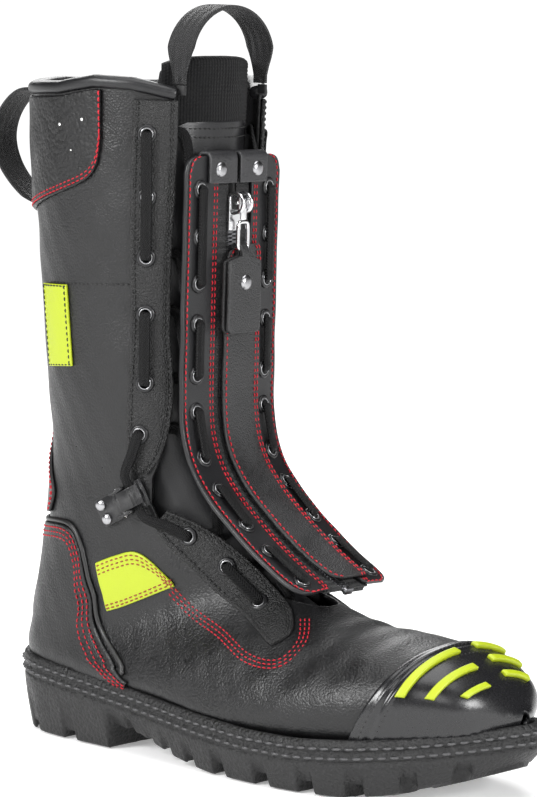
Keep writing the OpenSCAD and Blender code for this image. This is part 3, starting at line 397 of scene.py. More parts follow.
def tread(x):
    """height of the underside at x, with the grooves across it"""
    z = np.interp(x, FLOOR_Z[:, 0], FLOOR_Z[:, 1])
    for gx, w, h in GROOVES:
        f = np.clip((w / 2 + 1.2 - np.abs(x - gx)) / 2.2, 0, 1)
        f = f * f * (3 - 2 * f)
        z = np.maximum(z, z * (1 - f) + h * f)
    return z


zr = rim_z(ring[:, 0])
for _ in range(60):
    zr = .5 * zr + .25 * (np.roll(zr, 1) + np.roll(zr, -1))
zt = tread(ring[:, 0])
# profile across the wall: (how far in from the rim line, height above the groove line as a share or in mm)
prof = []
for inset, dz in ((9.0, -3.4), (6.4, -1.7), (4.6, -.6), (3.2, 0), (2.1, .1), (1.2, -.3), (.5, -1.2),
    (.12, -2.6), (0, -3.6), (.05, -4.6), (.35, -5.0), (.75, -5.3), (.8, -6.2), (.75, -7.1), (.4, -7.5),
    (.3, -8.2), (.3, -9.4), (.35, -10.0), (.85, -10.3), (1.05, -10.8), (1.05, -11.2), (.7, -11.6),
    (.55, -12.3)):
    prof.append((np.full(ns_, inset), zr + dz))
zb = np.minimum(zt, zr - 15)
top = zr - 12.3
for j in range(1, 9):
    f = j / 8
    prof.append((.55 + 4.6 * f ** 1.3 + 0 * zr, top + (zb + 1.0 - top) * f))
prof.append((.55 + 5.2 + 0 * zr, zb + .25))
prof.append((.55 + 6.2 + 0 * zr, zb))
V = []
for inset, z in prof:
    p = ring - out2 * inset[:, None]
    V.append(np.concatenate([p, z[:, None]], 1))
V = np.array(V)
nr = len(V)
# the top ledge meets the upper, and the cup floor closes it
verts = V.reshape(-1, 3)
F = [[j * ns_ + i, j * ns_ + (i + 1) % ns_, (j + 1) * ns_ + (i + 1) % ns_, (j + 1) * ns_ + i]
    for j in range(nr - 1) for i in range(ns_)]
# underside as strips between the two sides, closed across stations
last = V[-1]
half = ns_ // 2
rows_ = 18
mid_ = []
for i in range(1, half):
    a, b = last[i], last[ns_ - i]
    for j in range(1, rows_):
        f = j / rows_
        x = a[0] + (b[0] - a[0]) * f
        y = a[1] + (b[1] - a[1]) * f
        mid_.append((x, y, 0))
mid_ = np.array(mid_)
z_ = tread(mid_[:, 0])
for y0, y1, x0, x1 in ((11, 17, -20, 77), (-17, -11, -20, 77), (15, 21, 148, 292), (-17, -11, 148, 266)):
    f = np.clip(np.minimum(np.minimum(mid_[:, 1] - y0, y1 - mid_[:, 1]) / 1.2 + .5,
        np.minimum(mid_[:, 0] - x0, x1 - mid_[:, 0]) / 2), 0, 1)
    base = np.interp(mid_[:, 0], FLOOR_Z[:, 0], FLOOR_Z[:, 1])
    z_ = np.maximum(z_, base * (1 - f) + np.maximum(base, 5) * f)
mid_[:, 2] = z_
n0 = len(verts)
verts = np.vstack([verts, mid_])


def bid(i, j):
    """vertex of the underside at station i, row j"""
    if j == 0:
        return (nr - 1) * ns_ + i
    if j == rows_:
        return (nr - 1) * ns_ + (ns_ - i) % ns_
    return n0 + (i - 1) * (rows_ - 1) + (j - 1)


for i in range(1, half - 1):
    for j in range(rows_):
        F.append([bid(i, j), bid(i + 1, j), bid(i + 1, j + 1), bid(i, j + 1)])
F.append([(nr - 1) * ns_] + [bid(1, j) for j in range(rows_ + 1)])
F.append([bid(half - 1, j) for j in range(rows_, -1, -1)] + [(nr - 1) * ns_ + half])
# cup floor inside the lip
cen = len(verts)
inner = V[0].copy()
ins = []
for dz, inset in ((-6, .6), (-10, 4), (-11.5, 9)):
    ins.append(np.concatenate([inner[:, :2] - out2 * inset, (inner[:, 2] + dz)[:, None]], 1))
verts = np.vstack([verts] + ins)
lp = [0 * ns_] + [cen, cen + ns_, cen + 2 * ns_]
for a, b in zip([0] + lp[1:3], lp[1:]):
    F += [[a + (i + 1) % ns_, a + i, b + i, b + (i + 1) % ns_] for i in range(ns_)]
b = lp[-1]
F += [[b + i, b + i + 1, b + ns_ - i - 1, b + ns_ - i] for i in range(1, half - 1)]
F += [[b, b + 1, b + ns_ - 1], [b + half - 1, b + half, b + half + 1]]
sole = add_mesh("sole_unit", verts, F, RUBBER, "boot", nodes=("outsole", "midsole"))
bm = bmesh.new()
bm.from_mesh(sole.data)
bmesh.ops.recalc_face_normals(bm, faces=bm.faces)
bm.to_mesh(sole.data)
bm.free()

WELT = []
for dz, inset in ((-4.1, -.1), (-8.8, .25)):
    X = np.concatenate([ring - out2 * inset, (zr + dz)[:, None]], 1)
    X = np.vstack([X, X[:1]])
    N_ = np.concatenate([out2, np.zeros((ns_, 1))], 1)
    WELT.append(spaced(X, np.vstack([N_, N_[:1]]), 6.2, .5 if dz > -5 else 1.))
dash = stitch_mesh(4.6, .7)
# the dashes take the lighter rubber colour, a painted highlight
scatter("sole_dashes", WELT, dash, DASH_HIGHLIGHT)

# ---------------------------------------------------------------- hidden layers of the bottom
# Inside the upper lie the steel shank, the puncture layer, the insole board and the loose foam footbed,
# then the textile linings, the steel toe cap and the heel stiffener, each a plain skin at its own depth.
ST = np.array([[121, 350, 3, 350, 54, 54, 0, 0.5, 2.15, 2.1], [120, 295, 5, 295, 52, 52, 0, 0.5, 2.15, 2.1],
    [119, 240, 9, 235, 48, 48, 0, 0.5, 2.15, 2.1], [119, 190, 14, 178, 44, 43, 0, 0.5, 2.15, 2.1],
    [124, 155, 16, 132, 40, 39, 0, 0.52, 2.15, 2.1], [136, 128, 11, 92, 38, 38, 0, 0.58, 2.1, 2.1],
    [152, 109, 6, 57.5, 37, 37, 0, 0.66, 2, 2.2], [170, 94, 15, 35, 37, 38, 1, 0.76, 1.9, 2.7],
    [192, 82, 100, 28, 46, 43, 2, 0.78, 1.9, 3.6], [216, 76, 160, 22, 52, 47.5, 3, 0.8, 1.95, 4],
    [242, 73, 212, 21, 52.5, 49, 6, 0.72, 2.1, 4], [266, 68, 250, 24, 45, 42, 9, 0.62, 2.3, 3.6],
    [285, 56, 278, 30, 31, 28, 12, 0.56, 2.4, 3], [293, 44, 290, 35, 12, 11, 14, 0.5, 2.2, 2.4],
    [296, 41.5, 295, 38.5, 1.2, 1.2, 14, 0.5, 2, 2]])
COLLAR = np.array([[0, .50], [36, .47], [60, .39], [80, .38], [100, .45], [140, .48], [180, .45]])


def surf(u, v):
    """point of the upper's surface: a superellipse between the section's front and back lines"""
    u, v = np.broadcast_arrays(np.asarray(u, float), np.asarray(v, float))
    r = at(ST, v)
    a = np.radians(u)
    c, s = np.cos(a), np.abs(np.sin(a))
    n = np.where(c >= 0, r[..., 8], r[..., 9])
    pc, ps, m = np.abs(c) ** (2 / n), s ** (2 / n), r[..., 7]
    t = np.where(c >= 0, m * (1 - pc), m + (1 - m) * pc)
    g = np.where(np.sin(a) > 0, -r[..., 4], r[..., 5])
    return np.stack([r[..., 0] + (r[..., 2] - r[..., 0]) * t, r[..., 6] + g * ps,
        r[..., 1] + (r[..., 3] - r[..., 1]) * t], -1)


def nrm(u, v):
    """outward normal of the upper's surface"""
    u, v = np.broadcast_arrays(np.asarray(u, float), np.asarray(v, float))
    h = np.where(v > 13.9, .05, .02)
    return unit(np.cross(surf(u + 1, v) - surf(u - 1, v), surf(u, np.minimum(v + h, 14)) - surf(u,
        np.maximum(v - h, 0))))


def P(u, v, d):
    """point of the upper at angle u and section v, d mm off the surface"""
    return surf(u, v) + np.asarray(d)[..., None] * nrm(u, v)


def vc(u):
    """section number of the collar's edge at angle u"""
    a = np.abs(np.asarray(u, float))
    a = np.where(a > 180, 360 - a, a)
    return np.interp(a, COLLAR[:, 0], COLLAR[:, 1])


def shell(A, B):
    """closed shell between an outer grid A and an inner grid B, outer side outward"""
    nt, ns = A.shape[:2]
    n = nt * ns
    k = np.arange(n).reshape(nt, ns)
    q = np.stack([k[:-1, :-1], k[:-1, 1:], k[1:, 1:], k[1:, :-1]], -1).reshape(-1, 4)
    c = A[nt // 2, ns // 2] - B[nt // 2, ns // 2]
    g = np.cross(A[nt // 2, min(ns // 2 + 1, ns - 1)] - A[nt // 2, ns // 2 - 1],
        A[min(nt // 2 + 1, nt - 1), ns // 2] - A[nt // 2 - 1, ns // 2])
    flip = g @ c < 0
    loop = np.concatenate([k[0, :-1], k[:-1, -1], k[-1, :0:-1], k[:0:-1, 0]])
    nxt = np.roll(loop, -1)
    side = np.stack([loop, loop + n, nxt + n, nxt], -1)
    f = np.concatenate([q, (q + n)[:, ::-1], side])
    return np.concatenate([A.reshape(-1, 3), B.reshape(-1, 3)]), f[:, ::-1] if flip else f


def samples(n, L, r):
    """n parameters along a length, closer together where an edge of radius r rolls over"""
    e = np.array([0, .06, .2, .45, .8, 1.2]) * r / max(L, 1e-6)
    e = e[e < .4]
    lo = e[-1] if len(e) else 0
    return np.unique(np.concatenate([e, 1 - e, np.linspace(lo, 1 - lo, n)]))


def span(X):
    """length of each line of a grid, both ways"""
    return np.linalg.norm(np.diff(X, axis=1), axis=2).sum(1), np.linalg.norm(np.diff(X, axis=0),
        axis=2).sum(0)


def rough(X, amp, size, seed=0):
    """slow unevenness of worn leather"""
    o = np.zeros(X.shape[:-1])
    g = np.random.default_rng(seed)
    for k in range(7):
        w = g.normal(size=3) / size * (1 + .35 * k)
        o += np.sin(X @ w * 6.28 + g.uniform(0, 6.28)) / (1 + .5 * k)
    return o * amp / 2


class Panel:
    """piece of the surface given by f(s, t) -> (u, v) and two offsets, with rolled edges"""

    def __init__(self, f, d0, d1, r=.9, place=None):
        self.f, self.d0, self.d1, self.r = f, d0, d1, r
        self.place = place or P
        S, T = np.meshgrid(np.linspace(0, 1, 25), np.linspace(0, 1, 25))
        X = self.place(*f(S, T), d1)
        self.ls, self.lt = span(X)
        self.tt = np.linspace(0, 1, 25)

    def dist(self, S, T):
        a, b = np.interp(T, self.tt, self.ls), np.interp(S, self.tt, self.lt)
        return S * a, (1 - S) * a, T * b, (1 - T) * b

    def depth(self, S, T, grooves=(), round_edges="abcd"):
        e = dict(zip("abcd", self.dist(S, T)))
        m = np.full(S.shape, 1e3)
        for k in round_edges:
            m = np.minimum(m, e[k])
        m = np.minimum(m, self.r)
        d = self.d1 - self.r + np.sqrt(np.maximum(self.r ** 2 - (self.r - m) ** 2, 0))
        for k, mm in grooves:
            x = e[k] if k in "abcd" else np.minimum.reduce([e[j] for j in "abcd"])
            d -= .28 * np.exp(-((x - mm) / .75) ** 2)
        return d

    def make(self, name, mat, ns, nt, body="boot", nodes=(), grooves=(), round_edges="abcd",
        wave=.25, extra=None):
        s = samples(ns, float(self.ls.mean()), self.r)
        t = samples(nt, float(self.lt.mean()), self.r)
        S, T = np.meshgrid(s, t)
        d = self.depth(S, T, grooves, round_edges)
        U, V = self.f(S, T)
        X0 = self.place(U, V, 0 * d)
        w = rough(X0, wave, 60)
        if extra is not None:
            w = w + extra(S, T, U, V)
        A = self.place(U, V, d + w)
        B = self.place(U, V, self.d0 + w)
        v, fc = shell(A, B)
        a, b = np.interp(T, self.tt, self.ls), np.interp(S, self.tt, self.lt)
        uv = np.stack([(S - .5) * a, (T - .5) * b], -1).reshape(-1, 2)
        return add_mesh(name, v, fc, mat, body, np.concatenate([uv, uv]), nodes=nodes)

    def row(self, side, mm, lo=0., hi=1., lift=.05, n=400):
        """points, tangents and normals of a stitch row mm inside one edge"""
        k = np.linspace(lo, hi, n)
        if side in "ab":
            T, S = k, np.interp(k, self.tt, mm / self.ls)
            S = 1 - S if side == "b" else S
        else:
            S, T = k, np.interp(k, self.tt, mm / self.lt)
            T = 1 - T if side == "d" else T
        U, V = self.f(S, T)
        return self.place(U, V, np.full(n, self.d1 + lift)), nrm(U, V) if self.place is P else zn(U, V)


def rays(L, g=1):
    """panel outline from rows of (u, v) at its left and (u, v) at its right edge; g -1 mirrors it"""
    L = np.asarray(L, float)

    def f(S, T):
        r = at(L, T * (len(L) - 1))
        return g * (r[..., 0] + (r[..., 2] - r[..., 0]) * S), r[..., 1] + (r[..., 3] - r[..., 1]) * S
    return f


TEXTILE = paint("textile", (.010, .010, .011), .85, GRAIN, {"Cell": 1500., "Depth": 1.0}, tone=.5,
    sheen=.12, spec=.25)
STEEL = paint("bright_metal", (.70, .70, .71), .20, metal=1.)
BOARD = paint("board", (.35, .3, .22), .8)


def board(a, v0, v1):
    """foot-shaped outline on the bottom, from v0 at the heel to v1 at the toe, a degrees to each side"""
    return rays([[180 - a * k, v, 180 + a * k, v] for k, v in ((1, v0), (1.03, v0 + .25), (1.06, v0 + .6),
        (1.1, (v0 + v1) / 2), (1, v1 - .8), (.6, v1))])


Panel(board(13, 7.3, 8.9), -1.6, -.6, .3).make("shank_plate", STEEL, 16, 60, nodes=("shank",),
    wave=0)
Panel(board(29, 7, 12.2), -3.4, -2.8, .3).make("puncture_layer", BOARD, 30, 90, nodes=("puncture_plate",),
    wave=0)
Panel(board(38, 7.02, 12.3), -4.9, -3.9, .4).make("insole_layer", BOARD, 30, 90, nodes=("insole_board",),
    wave=0)
bed = Panel(board(38, 7.04, 12.2), -12, -7.9, 1.6).make("footbed_pad", TEXTILE, 40, 120, nodes=("footbed",),
    wave=.3)


def lin_a(v):
    """half angle of the lining's front opening"""
    return np.interp(v, [0, 5, 7, 8, 8.6, 9], [66, 66, 58, 44, 24, 1])


def lining(S, T):
    v = .5 + 5.3 * T
    a = lin_a(v)
    u = a + (360 - 2 * a) * S
    return u, np.maximum(v, vc(u) + .04)


def lining_low(S, T):
    v = 5.84 + 7.7 * T
    a = lin_a(v)
    return a + (360 - 2 * a) * S, v


LIN = -5.4
Panel(lining, LIN - 1.2, LIN, .4).make("shaft_lining", TEXTILE, 110, 80, nodes=("lining_shaft",),
    wave=.2)
Panel(lining_low, LIN - 1.2, LIN, .4).make("foot_lining", TEXTILE, 110, 110, nodes=("lining_foot",),
    wave=.1)
Panel(lambda S, T: (-112 + 224 * S, 11.2 + 2.5 * T), -4.9, -3.3, .6).make("toe_shell", STEEL, 90, 50,
    nodes=("toe_cap",), wave=0)
Panel(rays([[96, 6.6, 264, 6.6], [90, 6.2, 270, 6.2], [96, 5.7, 264, 5.7], [112, 5.2, 248, 5.2],
    [130, 4.9, 230, 4.9]]), -4.8, -2.9, .6).make("heel_shell", BOARD, 80, 40, nodes=("heel_stiffener",),
    wave=0)

# ---------------------------------------------------------------- base leather of the upper
# Two quarters wrap the shaft and a vamp covers the foot. They are full-grain cowhide about 2 mm thick,
# lasted under the sole at the rim, and drilled where the laces pass.
LEATHER = paint("leather_black", (.007, .007, .0075), .38, GRAIN, {"Cell": 900., "Depth": .42}, tone=.4,
    spec=.4)
QF = np.array([[.4, 37], [1.3, 38], [1.84, 40], [2.49, 41], [3.02, 40], [3.52, 44], [3.94, 50], [4.3, 58],
    [4.7, 60], [5, 57], [5.3, 48], [5.6, 40], [5.9, 33]])
FEYE = [(51.5, .76), (51.5, 1.29), (52.5, 1.82), (53.5, 2.34), (55.5, 3.02), (61.5, 3.66), (44.6, 5.44),
    (33.6, 6.29), (32.6, 7.36)]


def drill(ob, spots):
    """clean round holes of 3.05 mm radius at (point, normal) spots"""
    vs, fs = [], []
    for p, n in spots:
        n = unit(np.asarray(n, float))
        x = unit(np.cross(n, [0, 0, 1.] if abs(n[2]) < .9 else [1., 0, 0]))
        y = np.cross(n, x)
        a = np.linspace(0, 2 * np.pi, 28, endpoint=False)
        b = len(vs) * 28
        for d in (-9, 9):
            vs.append(p + n * d + 3.05 * (np.cos(a)[:, None] * x + np.sin(a)[:, None] * y))
        fs += [[b + i, b + (i + 1) % 28, b + 28 + (i + 1) % 28, b + 28 + i] for i in range(28)]
        fs += [[b + i for i in range(27, -1, -1)], [b + 28 + i for i in range(28)]]
    me = bpy.data.meshes.new("drill")
    me.from_pydata(metres(np.concatenate(vs)).tolist(), [], fs)
    cut = bpy.data.objects.new("drill", me)
    bpy.context.scene.collection.objects.link(cut)
    m = ob.modifiers.new("holes", "BOOLEAN")
    m.object, m.operation, m.solver = cut, "DIFFERENCE", "MANIFOLD"
    bpy.context.view_layer.update()
    new = bpy.data.meshes.new_from_object(ob.evaluated_get(bpy.context.evaluated_depsgraph_get()))
    ob.modifiers.clear()
    if len(new.polygons) > 100:
        ob.data = new
    bpy.data.objects.remove(cut)
    return ob


def face_spots(ks, g):
    return [(P(g * FEYE[i][0], FEYE[i][1], 0.), nrm(g * FEYE[i][0], FEYE[i][1])) for i in ks]


for g, side in ((1, "lateral"), (-1, "medial")):
    def quarter(S, T, g=g):
        w = .42 + 5.46 * T
        a = np.interp(w, QF[:, 0], QF[:, 1])
        u = a + (179.7 - a) * S
        return g * u, vc(u) + (5.921 - vc(u)) * T
    q_ = Panel(quarter, -2, 0, .7)
    ob = q_.make(f"quarter_leather_{side}", LEATHER, 150, 260, nodes=(f"quarter_{side}",),
        wave=.35, round_edges="ac")
    drill(ob, face_spots(range(7), g))
VAMP = [[44, 5.92, 150, 5.92], [30, 6.08, 150, 6.5], [25, 6.4, 150, 7.1], [23.5, 6.85, 150, 7.8],
    [22.5, 7.25, 150, 8.6], [20, 7.5, 150, 9.4], [16, 7.68, 150, 10.2], [12, 7.8, 148, 11],
    [8, 7.86, 145, 11.8], [5, 7.89, 138, 12.5], [2.5, 7.9, 118, 13.1], [1.6, 7.9, 96, 13.42],
    [.9, 7.9, 66, 13.62], [.4, 7.9, 34, 13.75]]
VR = VAMP + [[0, 7.9, 0, 13.8]] + [[-r[0], r[1], -r[2], r[3]] for r in VAMP[::-1]]


def creases(S, T, U, V):
    """walking folds across the ball of the foot"""
    w = np.exp(-((V - 9.2) / .75) ** 2) * np.exp(-(U / 75) ** 4)
    return w * .38 * np.sin(V * 9.5 + .35 * np.sin(U * .06)) - .1 * w


vamp_ = Panel(rays(VR), -2, 0, .7)
ob = vamp_.make("vamp_leather", LEATHER, 150, 300, nodes=("vamp",), wave=.3, extra=creases,
    round_edges="a")
drill(ob, face_spots((7, 8), 1) + face_spots((7, 8), -1))

# ---------------------------------------------------------------- overlays on the upper
# Leather overlays are sewn on the base: the heel counter with its piping, the back stay, the pebbled
# cuff at the collar, the eyelet facings, and the reflective ankle and shaft patches. Each has its own seams.


def edge_u(v, g, up):
    """angle at which section v meets the top of the sole's rim"""
    a, b = np.full(np.shape(v), 60.), np.full(np.shape(v), 180.)
    for _ in range(16):
        m = (a + b) / 2
        p = surf(g * m, v)
        o = p[..., 2] > rim_z(p[..., 0]) + up
        a, b = np.where(o, m, a), np.where(o, b, m)
    return (a + b) / 2


def lathe_mesh(name, prof, n=24, sx=1., sy=1.):
    """mesh turned from (radius, height) points, in millimetres"""
    a = np.linspace(0, 2 * np.pi, n, endpoint=False)
    V = np.concatenate([np.stack([r * np.cos(a) * sx, r * np.sin(a) * sy, np.full(n, z)], -1)
        for r, z in prof])
    k = len(prof)
    F = [[j * n + i, j * n + (i + 1) % n, (j + 1) * n + (i + 1) % n, (j + 1) * n + i] for j in range(k - 1)
        for i in range(n)]
    if prof[0][0] < .02:
        F.append(list(range(n))[::-1])
        F.append([(k - 1) * n + i for i in range(n)])
    me = bpy.data.meshes.new(name)
    me.from_pydata((V / 1000).tolist(), [], F)
    me.validate()
    me.shade_smooth()
    return me


def sweep(name, C, N, rx, ry, mat, body, nodes=(), k=16, p=2.6, caps=True, closed=False):
    """band or cord along C with normals N: half width rx across, half thickness ry along N"""
    C = np.asarray(C, float)
    n = len(C)
    T = unit(np.gradient(C, axis=0)) if not closed else unit(np.roll(C, -1, 0) - np.roll(C, 1, 0))
    N = unit(N - (N * T).sum(1, keepdims=True) * T)
    B = np.cross(T, N)
    a = np.linspace(0, 2 * np.pi, k, endpoint=False)
    ca = np.sign(np.cos(a)) * np.abs(np.cos(a)) ** (2 / p)
    sa = np.sign(np.sin(a)) * np.abs(np.sin(a)) ** (2 / p)
    rx, ry = np.broadcast_to(rx, n), np.broadcast_to(ry, n)
    V = C[:, None] + (rx[:, None] * ca)[..., None] * B[:, None] + (ry[:, None] * sa)[..., None] * N[:, None]
    m = n if closed else n - 1
    F = [[j * k + i, j * k + (i + 1) % k, (j + 1) % n * k + (i + 1) % k, (j + 1) % n * k + i]
        for j in range(m) for i in range(k)]
    if not closed and caps:
        F += [list(range(k))[::-1], [(n - 1) * k + i for i in range(k)]]
    s = np.concatenate([[0], np.cumsum(np.linalg.norm(np.diff(C, axis=0), axis=1))])
    uv = np.stack([np.repeat(s, k), (rx[:, None] * ca).ravel()], -1)
    return add_mesh(name, V.reshape(-1, 3), [f[::-1] for f in F], mat, body, uv, nodes=nodes)


GRAINED = paint("leather_pebbled", (.008, .008, .0085), .38, GRAIN, {"Cell": 520., "Depth": .9}, tone=.6,
    spec=.32)
NUBUCK = paint("leather_nubuck", (.009, .009, .0095), .48, GRAIN, {"Cell": 1150., "Depth": 1.2}, tone=.85,
    sheen=.03, spec=.4)
SMOOTH = paint("leather_smooth", (.010, .010, .011), .36, GRAIN, {"Cell": 1300., "Depth": .16}, tone=.15,
    spec=.38)
EDGE = paint("piping_black", (.008, .008, .008), .42)
HIVIS = paint("hi_vis", (.33, .40, .005), .45, GRAIN, {"Cell": 1500., "Depth": .10}, tone=.05)
RED = paint("thread_red", (.36, .012, .022), .6, spec=.2)
BLACKT = paint("thread_black", (.004, .004, .004), .55)
BROWNT = paint("thread_brown", (.22, .03, .012), .6)
ST_RED, ST_BLK = stitch_mesh(2.3, .36), stitch_mesh(2.1, .36)
COUNTER = [[103, 7.77], [92, 7.58], [84, 7.3], [80, 6.9], [82.5, 6.3], [86.8, 5.8], [94, 5.2], [109, 4.78],
    [150, 4.64]]
h1, h2 = [], []
for i, (a, b) in enumerate(COUNTER):
    v = 7.8 - i * .13
    h1.append([a, b, float(edge_u(np.array([v]), 1, .1)[0]), v])
    h2.append([360 - a, b, 360 - float(edge_u(np.array([v]), -1, .1)[0]), v])
counter = Panel(rays(h1 + [[165, 4.625, 166, 6.6], [180, 4.62, 180, 6.58],
    [195, 4.625, 194, 6.6]] + h2[::-1]), .3, 2.1, .9)
counter.make("counter_leather", LEATHER, 60, 330, nodes=("heel_counter",),
    grooves=(("c", 2.2), ("a", 2.0)), wave=.25)
X, N_ = counter.row("a", -1.4, .03, .97, -1.2, 160)
sweep("counter_piping", X, N_, 1.25, 1.15, EDGE, "boot", k=14, p=2)
stay = Panel(rays([[172, 1.62, 188, 1.62], [171, 2.4, 189, 2.4], [168, 3.1, 192, 3.1], [158, 3.6, 202, 3.6],
    [142, 3.92, 218, 3.92], [128, 4.25, 232, 4.25], [132, 4.52, 228, 4.52]]), .3, 2.0, .9)
stay.make("back_stay_leather", LEATHER, 60, 130, nodes=("back_stay",))
CUFF = [[76, .8], [77, .95], [79, 1.06], [84, 1.16], [96, 1.26], [115, 1.36], [135, 1.44], [158, 1.5]]
tops = [76, 79, 83, 89, 99, 116, 136, 158]
c1 = [[tops[i], float(vc(tops[i])) + .05, CUFF[i][0], CUFF[i][1]] for i in range(8)]
cuff = Panel(rays(c1 + [[180, float(vc(180)) + .05, 180, 1.52]] + [[360 - a, b, 360 - c, d]
    for a, b, c, d in c1[::-1]]), .3, 2.2, 1.)
cuff.make("cuff_leather", GRAINED, 60, 300, nodes=("collar_cuff",), grooves=(("b", 1.6),),
    wave=.3)

# rolled binding: one fat bead round the open edge of the collar
uu = np.linspace(37, 323, 260)
vv = vc(uu) - .004
C = P(uu, vv, np.full(260, -1.9)) + [0, 0, .8]
sweep("collar_bead", C, np.tile([0, 0, 1.], (260, 1)) + 0 * C, 4.6, 3.4, SMOOTH, "boot",
    nodes=("collar_binding",), k=28, p=2.3)
FACING = [[58.5, .5, 35.6, .5], [59.5, .9, 35.8, .9], [60.5, 1.32, 36.6, 1.32], [61.5, 1.84, 38.6, 1.84],
    [62.5, 2.49, 39.6, 2.49], [65.5, 3.0, 38.6, 3.02], [67.5, 3.35, 41, 3.4], [69.5, 3.69, 45.5, 3.75],
    [69, 3.95, 52, 4.05], [68, 4.17, 60, 4.25]]
FLOW = [[59.5, 5.1, 52, 4.88], [56, 5.4, 40, 5.2], [50.5, 5.79, 31, 5.6], [46, 6.2, 25, 6.1],
    [43, 6.6, 22, 6.6], [41, 7.1, 22, 7.1], [41.5, 7.5, 24, 7.6], [44, 7.85, 29, 7.95], [47, 8.2, 36, 8.25],
    [47.5, 8.34, 44, 8.36]]
PATCH = [[84.5, 5.5, 76.5, 6.52], [77, 5.46, 71.5, 6.52], [68.5, 5.48, 65, 6.48], [61.5, 5.76, 58.5, 6.43],
    [55, 6.28, 54.2, 6.4]]
SHAFT = [[100, 2.08, 125, 2.08], [100, 2.45, 125, 2.45], [100, 2.82, 125, 2.82]]
red, black, brown = [], [], []
for g, side in ((1, "lateral"), (-1, "medial")):
    f1 = Panel(rays(FACING, g), .35, 2.1, .8)
    ob = f1.make(f"facing_top_{side}", NUBUCK, 40, 240, nodes=(f"facing_upper_{side}",),
        grooves=(("b", 3.0), ("a", 2.4)), wave=.25)
    drill(ob, face_spots(range(6), g))
    f2 = Panel(rays(FLOW, g), .35, 2.1, .9)
    ob = f2.make(f"facing_low_{side}", NUBUCK, 40, 220, nodes=(f"facing_lower_{side}",),
        grooves=(("a", 2.6), ("b", 2.6)), wave=.3)
    drill(ob, face_spots((6, 7, 8), g))
    pt = Panel(rays(PATCH, g), .35, 1.5, .6)
    pt.make(f"ankle_flash_{side}", HIVIS, 60, 70, nodes=(f"ankle_patch_{side}",), wave=.15)
    sp = Panel(rays(SHAFT, g), .35, 1.6, .6)
    sp.make(f"shaft_flash_{side}", HIVIS, 40, 60, nodes=("shaft_patches",) if g > 0 else (),
        wave=.15)
    black += [spaced(*f1.row("a", 2.4), 2.9), spaced(*f1.row("b", 3.0), 2.9),
        spaced(*f2.row("a", 2.6), 3.0), spaced(*f2.row("b", 2.6), 3.0), spaced(*f2.row("d", 2.6), 3.0),
        spaced(*sp.row("a", 1.4), 2.9), spaced(*sp.row("b", 1.4), 2.9), spaced(*sp.row("c", 1.4), 2.9),
        spaced(*sp.row("d", 1.4), 2.9)]
    brown += [spaced(*pt.row("a", m), 3.1) for m in (1.6, 3.6, 5.6)] + [spaced(*pt.row("b", m), 3.1)
        for m in (1.6, 3.6)]
    uq = np.linspace(62, 118, 300)
    X = P(g * uq, np.full(300, 2.07), np.full(300, .05))
    black.append(spaced(X, nrm(g * uq, np.full(300, 2.07)), 2.9))
    uv_ = np.array([(54.5, 6.44), (51.5, 6.91), (51.5, 7.54), (56.5, 8.24), (52.5, 8.68), (38.6, 8.51),
        (25.6, 7.96)])
    for off in (0, 2.2, 4.4):
        w = at(uv_, np.linspace(0, 6, 400))
        X = P(g * w[:, 0], w[:, 1], np.full(400, .06))
        N_ = nrm(g * w[:, 0], w[:, 1])
        T_ = unit(np.gradient(X, axis=0))
        side_ = np.cross(T_, N_) * (1 if g > 0 else -1)
        sgn = 1 if (side_[200] @ (X[200] - P(g * 36., np.array(7.3), np.array(0.)))) > 0 else -1
        red.append(spaced(X + side_ * off * sgn, N_, 3.1))
for m in (2.0, 4.2, 6.4):
    red.append(spaced(*counter.row("a", m), 3.1))
for sd in "ab":
    for m in (1.8, 3.9):
        red.append(spaced(*stay.row(sd, m, .02, .98), 3.1))
for m in (1.6, 3.7):
    red.append(spaced(*cuff.row("b", m), 3.1))
    red.append(spaced(*cuff.row("c", m), 3.1))
    red.append(spaced(*cuff.row("d", m), 3.1))
scatter("seams_red", red, ST_RED, RED)
scatter("seams_black", black, ST_BLK, BLACKT)
scatter("seams_patch", brown, ST_RED, BROWNT)
pin = lathe_mesh("pinhole", [(.01, .06), (.5, .06), (.75, 0), (.75, -.2)], 12)
spots = [(85.4, .67), (98.3, .72), (91.4, .92), (104.3, 1.04)]
HOLE = paint("pinhole_pale", (.75, .75, .74), .6)
C = np.array([P(g * u, v, np.array(2.25)) for u, v in spots for g in (1, -1)])
N_ = np.array([nrm(g * u, v) for u, v in spots for g in (1, -1)])
scatter("cuff_pinholes", [(C, unit(np.cross(N_, [0, 0, 1.])), N_)], pin, HOLE)

# ---------------------------------------------------------------- toe bumper and bars
# A smooth rubber bumper is moulded over the toe, with two ridges near its rear edge.
# Reflective bars stand up from its top.
GLOSS = paint("bumper_skin", (.010, .010, .011), .26, GRAIN, {"Cell": 700., "Depth": .04}, tone=.12)


def bumper_f(S, T):
    g = np.where(S < .5, 1, -1)
    v0 = 10.6 - .15 * np.abs(2 * S - 1) ** 2
    v = v0 + (13.8 - v0) * T ** .85
    w = np.where(g > 0, edge_u(v, 1, .2), edge_u(v, -1, .2))
    return np.minimum(w, 150) * (1 - 2 * S), v


def ridges(S, T, U, V):
    v0 = 10.6 - .15 * np.abs(2 * S - 1) ** 2
    m = (V - v0) * 25
    raised = .55 * np.exp(-((m - 4.2) / .9) ** 2) + .55 * np.exp(-((m - 8.2) / .9) ** 2)
    return raised - .3 * np.exp(-((m - 6.2) / .8) ** 2)


